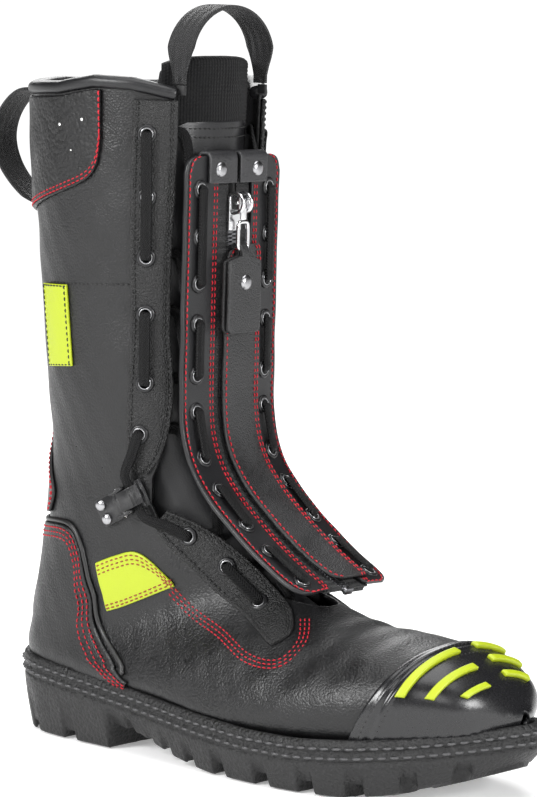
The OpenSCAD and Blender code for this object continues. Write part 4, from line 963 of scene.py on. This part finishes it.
bump = Panel(bumper_f, .4, 2.5, .9)
bump.make("bumper_leather", GLOSS, 170, 170, nodes=("toe_bumper",), wave=.12,
    extra=ridges)
scatter("bumper_seam", [spaced(*bump.row("c", 2.0), 3.0), spaced(*bump.row("c", 6.2, lift=-.1), 3.0)],
    ST_BLK, BLACKT)
BARS = [[71, 10.98, 10, 11.0], [69, 11.42, 14, 11.5], [56, 11.9, 24, 12.0], [-5, 10.95, -30, 11.14],
    [-3, 11.4, -36, 11.56], [-1, 11.85, -32, 12.02]]
for i, (a, b, c, d) in enumerate(BARS):
    p_ = Panel(rays([[a, b - .075, c, d - .075], [a, b + .075, c, d + .075]]), 2.2, 5.0, 1.2)
    p_.make(f"toe_bar_{i + 1}", HIVIS, 60, 12, nodes=("toe_bars",) if i == 0 else (), wave=0)

# ---------------------------------------------------------------- tongue
# A soft leather tongue closes the front. Its top is turned and sewn, with a padded knit edge above.
# Foam between leather and lining swells it; the cloth simulation presses that foam into shape.


def tongue_f(S, T):
    v = .66 + 6.9 * T
    a = np.interp(v, [0, 3.2, 4.6, 5.4, 6.2, 7, 7.8], [56, 57, 66, 64, 54, 44, 28])
    return a * (1 - 2 * S), v


tong = Panel(tongue_f, -9.2, -7.6, .7)


def tongue_folds(S, T, U, V):
    return .5 * np.sin(V * 5.2 + 1.2 * np.sin(U * .05)) * np.exp(-((V - 5.6) / 1.1) ** 2)


tong.make("tongue_skin", SMOOTH, 90, 200, nodes=("tongue_leather",), wave=.5,
    extra=tongue_folds)
scatter("tongue_seam", [spaced(*tong.row("c", m), 2.9) for m in (2.4, 5.)], ST_BLK, BLACKT)


def swell(name, f, d0, d1, mat, cap, body="boot", nodes=(), extra=None, voxel=.005):
    """padded piece: a closed form blown up by cloth pressure, kept within cap metres"""
    p = Panel(f, d0, d1, 1.6)
    ob = p.make(name, mat, 30, 60, body, nodes=nodes, wave=0)
    m = ob.modifiers.new("even", "REMESH")
    m.mode, m.voxel_size = "VOXEL", voxel / 2
    bpy.context.view_layer.update()
    ob.data = bpy.data.meshes.new_from_object(ob.evaluated_get(bpy.context.evaluated_depsgraph_get()))
    ob.modifiers.clear()
    start = np.zeros(len(ob.data.vertices) * 3)
    ob.data.vertices.foreach_get("co", start)
    sc = bpy.context.scene
    c = ob.modifiers.new("cloth", "CLOTH")
    c.settings.use_pressure = True
    c.settings.uniform_pressure_force = 4
    c.settings.effector_weights.gravity = 0
    c.settings.quality = 5
    c.point_cache.frame_start, c.point_cache.frame_end = 1, 20
    for fr in range(1, 21):
        sc.frame_set(fr)
    ev = ob.evaluated_get(bpy.context.evaluated_depsgraph_get()).data
    end = np.zeros_like(start)
    ev.vertices.foreach_get("co", end)
    ob.modifiers.clear()
    sc.frame_set(1)
    mv = (end - start).reshape(-1, 3)
    ln = np.linalg.norm(mv, axis=1, keepdims=True)
    mv *= np.minimum(1, cap / np.maximum(ln, 1e-9))
    ob.data.vertices.foreach_set("co", (start.reshape(-1, 3) + mv).ravel())
    s2 = ob.modifiers.new("smooth", "SUBSURF")
    s2.levels = s2.render_levels = 1
    bpy.context.view_layer.update()
    ob.data = bpy.data.meshes.new_from_object(ob.evaluated_get(bpy.context.evaluated_depsgraph_get()))
    ob.modifiers.clear()
    if not ob.data.materials:
        ob.data.materials.append(mat)
    ob.data.shade_smooth()
    return ob


def tpad(S, T):
    v0 = .12 + .12 * np.abs(2 * S - 1) ** 3
    v = v0 + (7.1 - v0) * T
    a = np.interp(v, [0, .6, 5, 7, 7.8], [43, 51, 49, 35, 23])
    return a * (1 - 2 * S), v


KNIT = paint("tongue_knit", (.004, .004, .0045), .9, WEAVE, {"Rib": 560., "Slant": .0, "Depth": .5},
    tone=.3, sheen=.04, spec=.2)
swell("tongue_cushion", tpad, -14.6, -10.1, TEXTILE, .0009, nodes=("tongue_padding",))
# ribbed knit cap on the tongue's padded top, standing above the collar


def cap_f(S, T):
    return 44 * (1 - 2 * S), .085 + .1 * np.abs(2 * S - 1) ** 3 + .62 * T


capp = Panel(cap_f, -15.3, -7.4, 3.6)
capp.make("tongue_top", KNIT, 100, 60, wave=.35,
    extra=lambda S, T, U, V: .16 * np.sin(V * 2 * np.pi / .036))

# ---------------------------------------------------------------- collar padding
# A foam roll behind the shaft lining pads the collar. It is swelled the way the tongue is.
swell("collar_cushion", lambda S, T: (70 + 220 * S, vc(70 + 220 * S) + .06 + 1.45 * T), -4.8, -2.7, TEXTILE,
    .0002, nodes=("collar_padding",))

# ---------------------------------------------------------------- zip unit
# A removable unit laces in over the tongue: two textile tapes with metal teeth, two leather edge strips
# sewn on them in red thread, and a smooth leather flap that covers the closed teeth.
WEB = paint("webbing", (.010, .010, .011), .66, WEAVE, {"Rib": 900., "Slant": .9, "Depth": .8}, tone=.5,
    sheen=.08, spec=.35)
STRAPSKIN = paint("leather_flap", (.026, .026, .027), .46, GRAIN, {"Cell": 1250., "Depth": .6}, tone=.6,
    spec=.4)
ZP = np.array([[119, 299], [119, 277], [119, 255], [119, 233], [119, 211], [119, 190], [119.6, 172],
    [122.3, 158], [128.2, 145], [138.5, 132.5], [151, 121.5], [164.5, 111.2], [178.5, 102], [193, 94],
    [203, 89.5]])
SEYE = [.75, 1.79, 2.83, 3.73, 4.93, 5.92, 7.6, 8.8, 10.22, 11.33, 12.8]
ZEND = 13.7


def zdir(q):
    return unit(at(ZP, np.minimum(q + .05, 14)) - at(ZP, np.maximum(q - .05, 0)))


def Z(q, y, d):
    q, y, d = np.broadcast_arrays(np.asarray(q, float), np.asarray(y, float), np.asarray(d, float))
    c, t = at(ZP, q), zdir(q)
    e = d - np.where(np.abs(y) < 13, 0, 1.5 * (np.maximum(np.abs(y) - 13, 0) / 23) ** 1.4)
    return np.stack([c[..., 0] + t[..., 1] * -1 * e, y, c[..., 1] + t[..., 0] * e], -1)


def zn(q, y):
    a = Z(q, y + .5, 0 * q) - Z(q, y - .5, 0 * q)
    b = Z(np.minimum(q + .05, 14), y, 0 * q) - Z(np.maximum(q - .05, 0), y, 0 * q)
    return unit(np.cross(b, a))


def zrows(L, g=1):
    L = np.asarray(L, float)

    def f(S, T):
        r = at(L, T * (len(L) - 1))
        return r[..., 0] + 0 * S, g * (r[..., 1] + (r[..., 2] - r[..., 1]) * S)
    return f


STRIP = [[-.03, 15, 28], [.05, 13.2, 31.5], [.18, 12.6, 34], [.4, 12.5, 35.6], [.6, 12.5, 36],
    [2, 12.5, 36], [4, 12.5, 36], [6, 12.5, 36], [8, 12.5, 36], [10, 12.5, 36], [11.5, 12.5, 36],
    [12.2, 12.5, 36], [12.7, 12.6, 35.6], [13.05, 12.8, 34.2], [13.3, 13.4, 31.5], [13.42, 15, 28]]
SD0, SD1 = .9, 2.7
zred, tooth_rows = [], {}
for g, side in ((-1, "lateral"), (1, "medial")):
    tp = Panel(zrows([[.15 + (ZEND - .45) * i / 27, 2.9, 17] for i in range(28)], g), -.5, .5, .2, Z)
    tp.make(f"zip_tape_cloth_{side}", WEB, 14, 260, nodes=(f"zip_tape_{side}",), wave=0)
    st = Panel(zrows(STRIP, g), SD0, SD1, .85, Z)
    ob = st.make(f"zip_edge_{side}", SMOOTH, 44, 300, nodes=(f"zip_strip_{side}",),
        grooves=(("b", 2.6),), wave=.25)
    drill(ob, [(Z(q, g * 26., 0.), zn(np.array(q), np.array(g * 26.))) for q in SEYE])
    for sd, m in (("b", 2.6), ("a", 1.8), ("a", 3.8), ("d", 2.4)):
        zred.append(spaced(*st.row(sd, m, .01, .99), 3.1))
    qs = []
    q = .95 + (.5 if g > 0 else 0) * .086
    while q < ZEND - .42:
        qs.append(q)
        q += 1.9 / max(np.linalg.norm(at(ZP, np.array(q + .1)) - at(ZP, np.array(q))) * 10, 1)
    qs = np.array(qs)
    C = Z(qs, g * 1.65, 0 * qs)
    tooth_rows[side] = (C, unit(Z(qs + .02, g * 1.65, 0 * qs) - Z(qs - .02, g * 1.65, 0 * qs)),
        zn(qs, np.full(len(qs), g * 1.65)))
bm = bmesh.new()
bmesh.ops.create_cube(bm, size=1)
bmesh.ops.scale(bm, vec=(.00105, .0036, .0022), verts=bm.verts)
bmesh.ops.bevel(bm, geom=bm.edges[:], offset=.0002, segments=2, affect="EDGES")
TOOTH = bpy.data.meshes.new("tooth")
bm.to_mesh(TOOTH)
bm.free()
TEETH = paint("zip_teeth_metal", (.20, .20, .21), .35, metal=1.)
for side, r in tooth_rows.items():
    scatter(f"zip_chain_{side}", [r], TOOTH, TEETH, nodes=(f"teeth_{side}",))
Panel(zrows([[ZEND - .24, -2.8, 2.8], [ZEND - .1, -2.8, 2.8]]), -1.6, 1.6, .5, Z).make("zip_stop", TEETH, 8,
    6, nodes=("bottom_stop",), wave=0)
FLAP = [[2.0, 4, 18], [2.12, -4, 19.4], [2.4, -7.4, 20], [3, -8, 20], [5, -8, 20], [7, -8, 20], [9, -8, 20],
    [11, -8, 20], [12.3, -7.6, 20], [12.9, -5, 19.6], [13.1, 2, 18.6]]
fl = Panel(zrows(FLAP), SD1 + .4, SD1 + 1.8, .7, Z)
flap = fl.make("zip_flap", STRAPSKIN, 60, 280, nodes=("zip_cover_flap",), wave=.3)
lo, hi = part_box("zip_cover_flap")
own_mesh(flap)
fs = scatter("flap_seams", [spaced(*fl.row("b", m, .02, .98), 3.1)
    for m in (1.8, 3.9)] + [spaced(*fl.row("a", 2.0, .03, .97), 3.1)], ST_RED, RED)
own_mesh(fs)
scatter("zip_seams", zred, ST_RED, RED)
Panel(zrows([[12.0, 4, 19], [13.2, 4, 19]]), -4.6, -.9, .6, Z).make("hook_loop", TEXTILE, 40, 30,
    nodes=("hook_loop_patch",), wave=0)

# ---------------------------------------------------------------- keepers, slider, puller, strap
# Two leather keepers fold over the top of the strips and are riveted. The cast slider carries a forked
# puller on a pin, and a leather strap is folded round the puller and snapped with a dome.
KEEPER = paint("leather_keeper", (.022, .022, .024), .42, GRAIN, {"Cell": 1100., "Depth": .4}, tone=.35)
RIMMETAL = paint("eyelet_ring_metal", (.34, .34, .35), .28, metal=1.)


def box_piece(parts, name, mat, body, nodes, bev=.5, seg=3):
    """union of (low corner, high corner) boxes in millimetres, edges rounded"""
    bm = bmesh.new()
    for lo_, hi_ in parts:
        lo_, hi_ = metres(lo_), metres(hi_)
        r = bmesh.ops.create_cube(bm, size=1)
        bmesh.ops.scale(bm, vec=tuple(hi_ - lo_), verts=r["verts"])
        bmesh.ops.translate(bm, vec=tuple((hi_ + lo_) / 2), verts=r["verts"])
    me = bpy.data.meshes.new(name)
    bm.to_mesh(me)
    bm.free()
    ob = bpy.data.objects.new(name, me)
    bpy.context.scene.collection.objects.link(ob)
    m = ob.modifiers.new("bev", "BEVEL")
    m.width, m.segments, m.limit_method = bev / 1000, seg, "ANGLE"
    bpy.context.view_layer.update()
    ob.data = bpy.data.meshes.new_from_object(ob.evaluated_get(bpy.context.evaluated_depsgraph_get()))
    ob.modifiers.clear()
    ob.data.shade_smooth()
    ob.data.materials.clear()
    ob.data.materials.append(mat)
    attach(ob, body)
    if nodes:
        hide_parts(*nodes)
    return ob


ZX, slider_z = 119, 271
PX, PZ = ZX + 7.2, slider_z + 5
SPZ = PZ - 22
BZ, STX = SPZ - 1.2, PX + .7
for g, side in ((-1, "outer"), (1, "inner")):
    y0, y1 = (1.2, 22) if g > 0 else (-22, -1.2)
    a = np.linspace(0, 1, 60)
    # one leather tab folded over the strip's top: front face, fold over the top, back face
    prof = np.array([[ZX + SD1 + 1.2, 285.8], [ZX + SD1 + 1.25, 293], [ZX + SD1 + 1.2, 298.2],
        [ZX + SD1 + .2, 300.2], [ZX + .2, 300.6], [ZX - 2.2, 300.2], [ZX - 2.9, 298.2], [ZX - 2.9, 293],
        [ZX - 2.9, 285.8]])
    c = at(prof, a * 8)
    C = np.stack([c[:, 0], np.full(60, (y0 + y1) / 2), c[:, 1]], -1)
    t2 = unit(np.gradient(c, axis=0))
    N_ = np.stack([-t2[:, 1] * -1, 0 * t2[:, 0], -t2[:, 0] * 1], -1)
    sweep(f"keeper_tab_{side}", C, N_, 10.3, .95, KEEPER, "boot", nodes=("keepers",) if g < 0 else (),
        k=40, p=7)
dome = lathe_mesh("dome", [(.01, 1.75), (1.2, 1.7), (2.3, 1.5), (3.2, 1.05), (3.75, .45), (3.85, .1),
    (3.85, -.2), (.01, -.2)], 40)
C = np.array([[ZX + SD1 + 2.05, g * 14., 292.5] for g in (-1, 1)])
scatter("keeper_domes", [(C, np.array([[0, 1., 0]] * 2), np.array([[1., 0, 0]] * 2))], dome, RIMMETAL,
    nodes=("keeper_rivets",))
b = 1.4
box_piece([((ZX + b, -4.6, slider_z - 9), (ZX + b + 1.6, 4.6, slider_z + 8)),
    ((ZX - b - 1.3, -4.6, slider_z - 9), (ZX - b, 4.6, slider_z + 8)),
    ((ZX - b, -.45, slider_z + 3), (ZX + b, .45, slider_z + 8)),
    ((ZX + b + 1.2, 2.3, PZ - 3.6), (PX + 1.8, 3.9, PZ + 3.4)),
    ((ZX + b + 1.2, -3.9, PZ - 3.6), (PX + 1.8, -2.3, PZ + 3.4))], "slider_body", STEEL, "slider",
    ("zip_slider",), .75, 5)
sweep("puller_axle", np.array([[PX, -4.2, PZ], [PX, 0, PZ], [PX, 4.2, PZ]]), np.array([[1., 0, 0]] * 3), .9,
    .9, STEEL, "slider", nodes=("puller_pin",), p=2, k=20)
# two rounded cheeks of the slider's eye carry the puller's pin
c = at([[ZX + 2, slider_z + 8.5], [ZX + 5.4, slider_z + 9.6], [ZX + 9.2, slider_z + 8.2],
    [ZX + 10.4, slider_z + 5], [ZX + 9.2, slider_z + 1.6], [ZX + 5.4, slider_z - .2],
    [ZX + 2, slider_z - .4]], np.linspace(0, 6, 60))
t2 = unit(np.gradient(c, axis=0))
for y, side in ((-3.1, "outer"), (3.1, "inner")):
    sweep(f"slider_cheek_{side}", np.stack([c[:, 0], y + 0 * c[:, 0], c[:, 1]], -1),
        np.stack([-t2[:, 1], 0 * t2[:, 0], t2[:, 0]], -1), .85, .9, STEEL, "slider",
        k=20, p=3)
# forked puller: an arm from the eye down to a rounded frame that holds the strap
a = np.linspace(0, 2 * np.pi, 120)
fr = np.stack([np.full(120, PX + .7), 3.7 * np.sign(np.cos(a)) * np.abs(np.cos(a)) ** .45,
    BZ + 6.9 + 6.9 * np.sign(np.sin(a)) * np.abs(np.sin(a)) ** .45], -1)
sweep("puller_frame", fr[:-1], np.tile([1., 0, 0], (119, 1)), .95, .95, STEEL, "puller",
    nodes=("slider_puller",), p=3, k=16, closed=True)
box_piece([((PX - .2, -1.9, PZ - 8.6), (PX + 1.6, 1.9, PZ + 1.8))], "puller_arm", STEEL, "puller", (),
    .7, 4)
# leather strap folded round the puller's bar, both tails pressed together
prof = np.array([[STX + 1.5, BZ - 41], [STX + 1.75, BZ - 30], [STX + 1.75, BZ - 16], [STX + 1.5, BZ - 6],
    [STX + 1.4, BZ - 1.2], [STX, BZ + 1.6], [STX - 1.4, BZ - 1.2], [STX - 1.5, BZ - 6],
    [STX - 1.7, BZ - 16], [STX - 1.75, BZ - 30], [STX - 1.5, BZ - 41]])
n = 160
c = at(prof, np.linspace(0, 10, n))
t2 = unit(np.gradient(c, axis=0))
dz = BZ - c[:, 1]
w = np.where(dz < 3, 2.6, 2.6 + (12.2 - 2.6) * np.clip((dz - 3) / 2.6, 0, 1) ** .6)
w = w - 2.5 * np.clip((dz - 38) / 3.2, 0, 1) ** 3
sweep("strap_leather", np.stack([c[:, 0], 0 * c[:, 0], c[:, 1]], -1),
    np.stack([t2[:, 1], 0 * t2[:, 0], -t2[:, 0]], -1), w, 1.25, STRAPSKIN, "strap", nodes=("pull_strap",),
    k=36, p=6)
scatter("strap_dome", [(np.array([[STX + 2.75, 0, BZ - 16.]]), np.array([[0, 1., 0]]),
    np.array([[1., 0, 0]]))], dome, RIMMETAL, "strap", nodes=("strap_snap",))

# ---------------------------------------------------------------- eyelets
# Pressed steel eyelets: a blackened flange on the leather, with a plain metal ring through the hole.
DARKRING = paint("eyelet_rim", (.012, .012, .013), .30, metal=.3)
OV1 = 2.1
flange = lathe_mesh("flange", [(3.2, .0), (3.2, .75), (3.5, .95), (4.0, .92), (4.5, .6), (4.8, .1),
    (4.75, -.05), (4.0, -.25)], 40)
ringm = lathe_mesh("ring", [(2.5, -2.6), (2.5, .6), (2.62, .9), (2.85, 1.06), (3.12, 1.0), (3.25, .8),
    (3.25, .3), (3.0, -.2), (3.0, -2.6)], 40)
for g, side in ((1, "lateral"), (-1, "medial")):
    N_ = np.array([nrm(g * u, v) for u, v in FEYE])
    C = np.array([P(g * u, v, np.array(OV1 + .1)) for u, v in FEYE])
    D = unit(np.cross(N_, [0, 0, 1.]))
    scatter(f"eyelet_flanges_{side}", [(C, D, N_)], flange, DARKRING, nodes=(f"eyelets_facing_{side}",))
    scatter(f"eyelet_rings_{side}", [(C, D, N_)], ringm, RIMMETAL)
    q = np.array(SEYE)
    N_ = zn(q, np.full(11, -g * 26.))
    C = Z(q, -g * 26., np.full(11, SD1 + .1))
    D = unit(np.cross(N_, [0, 1., 0]))
    scatter(f"strip_flanges_{side}", [(C, D, N_)], flange, DARKRING, nodes=(f"eyelets_strip_{side}",))
    scatter(f"strip_rings_{side}", [(C, D, N_)], ringm, RIMMETAL)

# ---------------------------------------------------------------- laces
# One flat braided lace on each side joins the facing to the zip strip. It runs over the facings, back
# behind the strips, and under the lock on the outer side.
CORD = paint("lace_braid", (.0035, .0035, .004), .7, WEAVE, {"Rib": 700., "Slant": 1.4, "Depth": .7},
    tone=.4, spec=.22)
LU, LV, LD, LT, LH = 72, 4.6, 1., 14, 5.6


def lock_frame(g=1):
    n = nrm(LU, LV)
    e = surf(LU - 1., LV) - surf(LU + 1., LV)
    x = unit(e - (e @ n) * n)
    y = np.cross(n, x)
    t = math.radians(LT)
    return math.cos(t) * x + math.sin(t) * y, -math.sin(t) * x + math.cos(t) * y, n, P(LU, LV, np.array(LD))


LX, LY, LN, LO = lock_frame()


def lock_pt(x, y, z):
    return LO + x * LX + y * LY + z * LN


FO, FI, SO, SI = OV1 + 2.1, -2 - 2.2, SD1 + 2.1, SD0 - 2.2
WIDE, HOLE_ = (2.75, .85), (1.85, 1.25)


def lace(g):
    R_ = []

    def add(p, n, w=WIDE):
        R_.append((np.asarray(p, float), np.asarray(n, float), w))

    def F_(k, d, w=WIDE):
        u, v = FEYE[k]
        add(P(g * u, v, np.array(float(d))), nrm(g * u, v), w)

    def S_(k, d, w=WIDE):
        add(Z(SEYE[k], -g * 26., float(d)), zn(np.array(SEYE[k]), np.array(-g * 26.)), w)

    def E_(k):
        u = FEYE[k][0] - 13 if k > 5 else np.interp(FEYE[k][1], QF[:, 0], QF[:, 1]) - 6
        add(P(g * u, FEYE[k][1], np.array(FI + .3)), nrm(g * u, FEYE[k][1]))

    def M_(t=.5, lift=0.):
        """marks a point between its neighbours, filled in afterwards"""
        R_.append((t, lift, WIDE))

    def over(a, b):
        F_(a, 0, HOLE_)
        F_(a, FI, HOLE_)
        E_(a)
        M_(.5)
        S_(b, SI, HOLE_)
        S_(b, SD0, HOLE_)

    def back_over(a, b):
        S_(b, SD0, HOLE_)
        S_(b, SI, HOLE_)
        M_(.5)
        E_(a)
        F_(a, FI, HOLE_)
        F_(a, 0, HOLE_)

    def run(S, a, b, d):
        S(a, d)
        M_(.2)
        M_(.5)
        M_(.8)
        S(b, d)

    add(Z(SEYE[2], -g * 26., SI) + [-4, 3 * g, 0], [1, 0, 0])
    S_(2, SI, HOLE_)
    S_(2, SD0, HOLE_)
    run(S_, 2, 1, SO)
    M_(.2)
    M_(.8)
    S_(0, SO)
    S_(0, SD0, HOLE_)
    S_(0, SI, HOLE_)
    M_(.4)
    E_(0)
    F_(0, FI, HOLE_)
    F_(0, 0, HOLE_)
    run(F_, 0, 1, FO)
    M_(.2)
    M_(.5)
    M_(.8)
    F_(2, FO)
    over(2, 3)
    run(S_, 3, 4, SO)
    back_over(3, 4)
    run(F_, 3, 4, FO)
    over(4, 5)
    run(S_, 5, 6, SO)
    back_over(5, 6)
    if g < 0:
        run(F_, 5, 6, FO)
    else:
        F_(5, FO)
        M_(.5)
        for x, y, z in ((8, 11, 4.6), (8, 0, 3.5), (8, -11, 4.4)):
            add(lock_pt(x, y, z), LN, (2.6, .9))
        M_(.5, -1.)
        F_(6, FO)
    over(6, 7)
    run(S_, 7, 8, SO)
    back_over(7, 8)
    run(F_, 7, 8, FO)
    over(8, 9)
    run(S_, 9, 10, SO)
    S_(10, SD0, HOLE_)
    S_(10, SI, HOLE_)
    add(Z(SEYE[10], -g * 26., SI) + [-4, 3 * g, 1], [.5, 0, .8])
    # fill the marked in-between points
    fixed = [i for i, r in enumerate(R_) if not np.isscalar(r[0])]
    for i, r in enumerate(R_):
        if np.isscalar(r[0]):
            a = max(j for j in fixed if j < i)
            b_ = min(j for j in fixed if j > i)
            p = R_[a][0] + (R_[b_][0] - R_[a][0]) * r[0]
            n = unit(R_[a][1] + (R_[b_][1] - R_[a][1]) * r[0])
            R_[i] = (p + n * r[1], n, r[2])
    n = len(R_) - 1
    k = np.linspace(0, n, n * 12 + 1)
    return [at(np.array([r[j] for r in R_], float), k) for j in range(3)]


for g, side in ((1, "lateral"), (-1, "medial")):
    C, N_, W = lace(g)
    sweep(f"lace_cord_{side}", C, N_, np.clip(W[:, 0], 1.8, 2.8), np.clip(W[:, 1], .8, 1.3), CORD, "boot",
        nodes=(f"lace_{side}",), k=14, p=2.8)

# ---------------------------------------------------------------- lace lock
# A moulded plastic buckle, riveted to the outer facing, holds the lace under a ribbed cam lever.
PLASTIC = paint("hard_plastic", (.018, .018, .019), .36, GRAIN, {"Cell": 1800., "Depth": .25}, tone=.2)


def in_lock(parts, name, mat, body, nodes, bev=.45):
    """rounded boxes given in the lock's own axes"""
    bm = bmesh.new()
    for lo_, hi_ in parts:
        r = bmesh.ops.create_cube(bm, size=1)
        bmesh.ops.scale(bm, vec=tuple(np.subtract(hi_, lo_)), verts=r["verts"])
        bmesh.ops.translate(bm, vec=tuple(np.add(hi_, lo_) / 2), verts=r["verts"])
    bmesh.ops.bevel(bm, geom=bm.edges[:], offset=bev, segments=4, affect="EDGES")
    for v in bm.verts:
        v.co = Vector(metres(lock_pt(*v.co)).tolist())
    me = bpy.data.meshes.new(name)
    bm.to_mesh(me)
    bm.free()
    me.shade_smooth()
    me.materials.append(mat)
    ob = bpy.data.objects.new(name, me)
    bpy.context.scene.collection.objects.link(ob)
    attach(ob, body)
    if nodes:
        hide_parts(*nodes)
    return ob


hw = 7.
in_lock([((-17, -hw, 0), (5.6, hw, 1.9)), ((10.4, -hw, 0), (13, hw, 1.9)),
    ((5, -hw, .0), (11, -hw + 2.6, 1.9)), ((5, hw - 2.6, 0), (11, hw, 1.9)),
    ((-4, -hw, .6), (4, -hw + 1.8, 7.8)), ((-4, hw - 1.8, .6), (4, hw, 7.8))], "lock_plate", PLASTIC,
    "boot", ("lock_base",))
pc = np.array([lock_pt(0, y, LH) for y in (-7.3, -3., 3., 7.3)])
sweep("lock_axle", pc, np.tile(LN, (4, 1)), 1.2, 1.2, STEEL, "boot", nodes=("lock_pin",),
    p=2, k=24)
hx = 4.9
parts = [((0, -hx, LH - .2), (13.4, hx, LH + 2.2)), ((-2.1, -hx, LH - 2.1),
    (2.1, hx, LH + 2.1))] + [((x, -hx, LH + 1.9), (x + 1, hx, LH + 2.9)) for x in (7.3, 9.3, 11.3)]
in_lock(parts, "lock_cam", PLASTIC, "lever", ("lock_lever",), .4)
C = np.array([lock_pt(-13.6, y, 1.95) for y in (-3.8, 3.8)])
small = lathe_mesh("small_dome", [(.01, 1.25), (1., 1.2), (1.9, .95), (2.6, .5), (2.8, .1), (2.8, -.1),
    (.01, -.1)], 32)
scatter("lock_domes", [(C, np.tile(LX, (2, 1)), np.tile(LN, (2, 1)))], small, RIMMETAL,
    nodes=("lock_rivets",))

# ---------------------------------------------------------------- webbing loops
# Two pull loops of woven webbing: the front one straddles the tongue on two sewn tabs,
# and the rear one bows out behind the collar and bends at its sewn ends.
FLX, FLZ = 110, 338
a_, b_ = 32 - 1., 373 - FLZ - 8 - 1.
t = np.linspace(0, np.pi, 90)
Y, Zz = a_ * np.cos(t), FLZ + 8 + b_ * np.sin(t)
Y = np.concatenate([[a_, a_, a_], Y, [-a_, -a_, -a_]])
Zz = np.concatenate([[FLZ - 4, FLZ, FLZ + 4], Zz, [FLZ + 4, FLZ, FLZ - 4]])
C = np.stack([np.full(len(Y), float(FLX)), Y, Zz], -1)
T_ = unit(np.gradient(C, axis=0))
N_ = np.cross(T_, [1., 0, 0])
w = 4 + 4.4 * np.clip((Zz - FLZ - 1) / 13, 0, 1)
sweep("front_pull_web", C, N_, w, 1.0, WEB, "front_pull", nodes=("front_loop",), k=30, p=6)
REAR = np.array([[-1.4, 322.5], [-8, 326], [-18, 325.5], [-27, 319.5], [-33.6, 310], [-35.4, 299],
    [-31, 287.5], [-22, 277.5], [-11, 270], [1.2, 265.5]])
c = at(REAR, np.linspace(0, 9, 120))
t2 = unit(np.gradient(c, axis=0))
w = 2.1 + 6.8 * np.clip((-1 - c[:, 0]) / 13, 0, 1) ** .8
web = sweep("rear_pull_web", np.stack([c[:, 0], 0 * c[:, 0], c[:, 1]], -1),
    np.stack([t2[:, 1], 0 * t2[:, 0], -t2[:, 0]], -1), w, 1.0, WEB, None, nodes=("rear_loop",),
    k=30, p=6)
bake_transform(web)
for g, side in ((1, "inner"), (-1, "outer")):
    box_piece([((FLX - 1, g * 31 - .9, FLZ - 9.4), (FLX + 4, g * 31 + .9, FLZ - 4.6))],
        f"loop_anchor_{side}", WEB, "boot", ("loop_anchors",) if g > 0 else (), .3, 2)
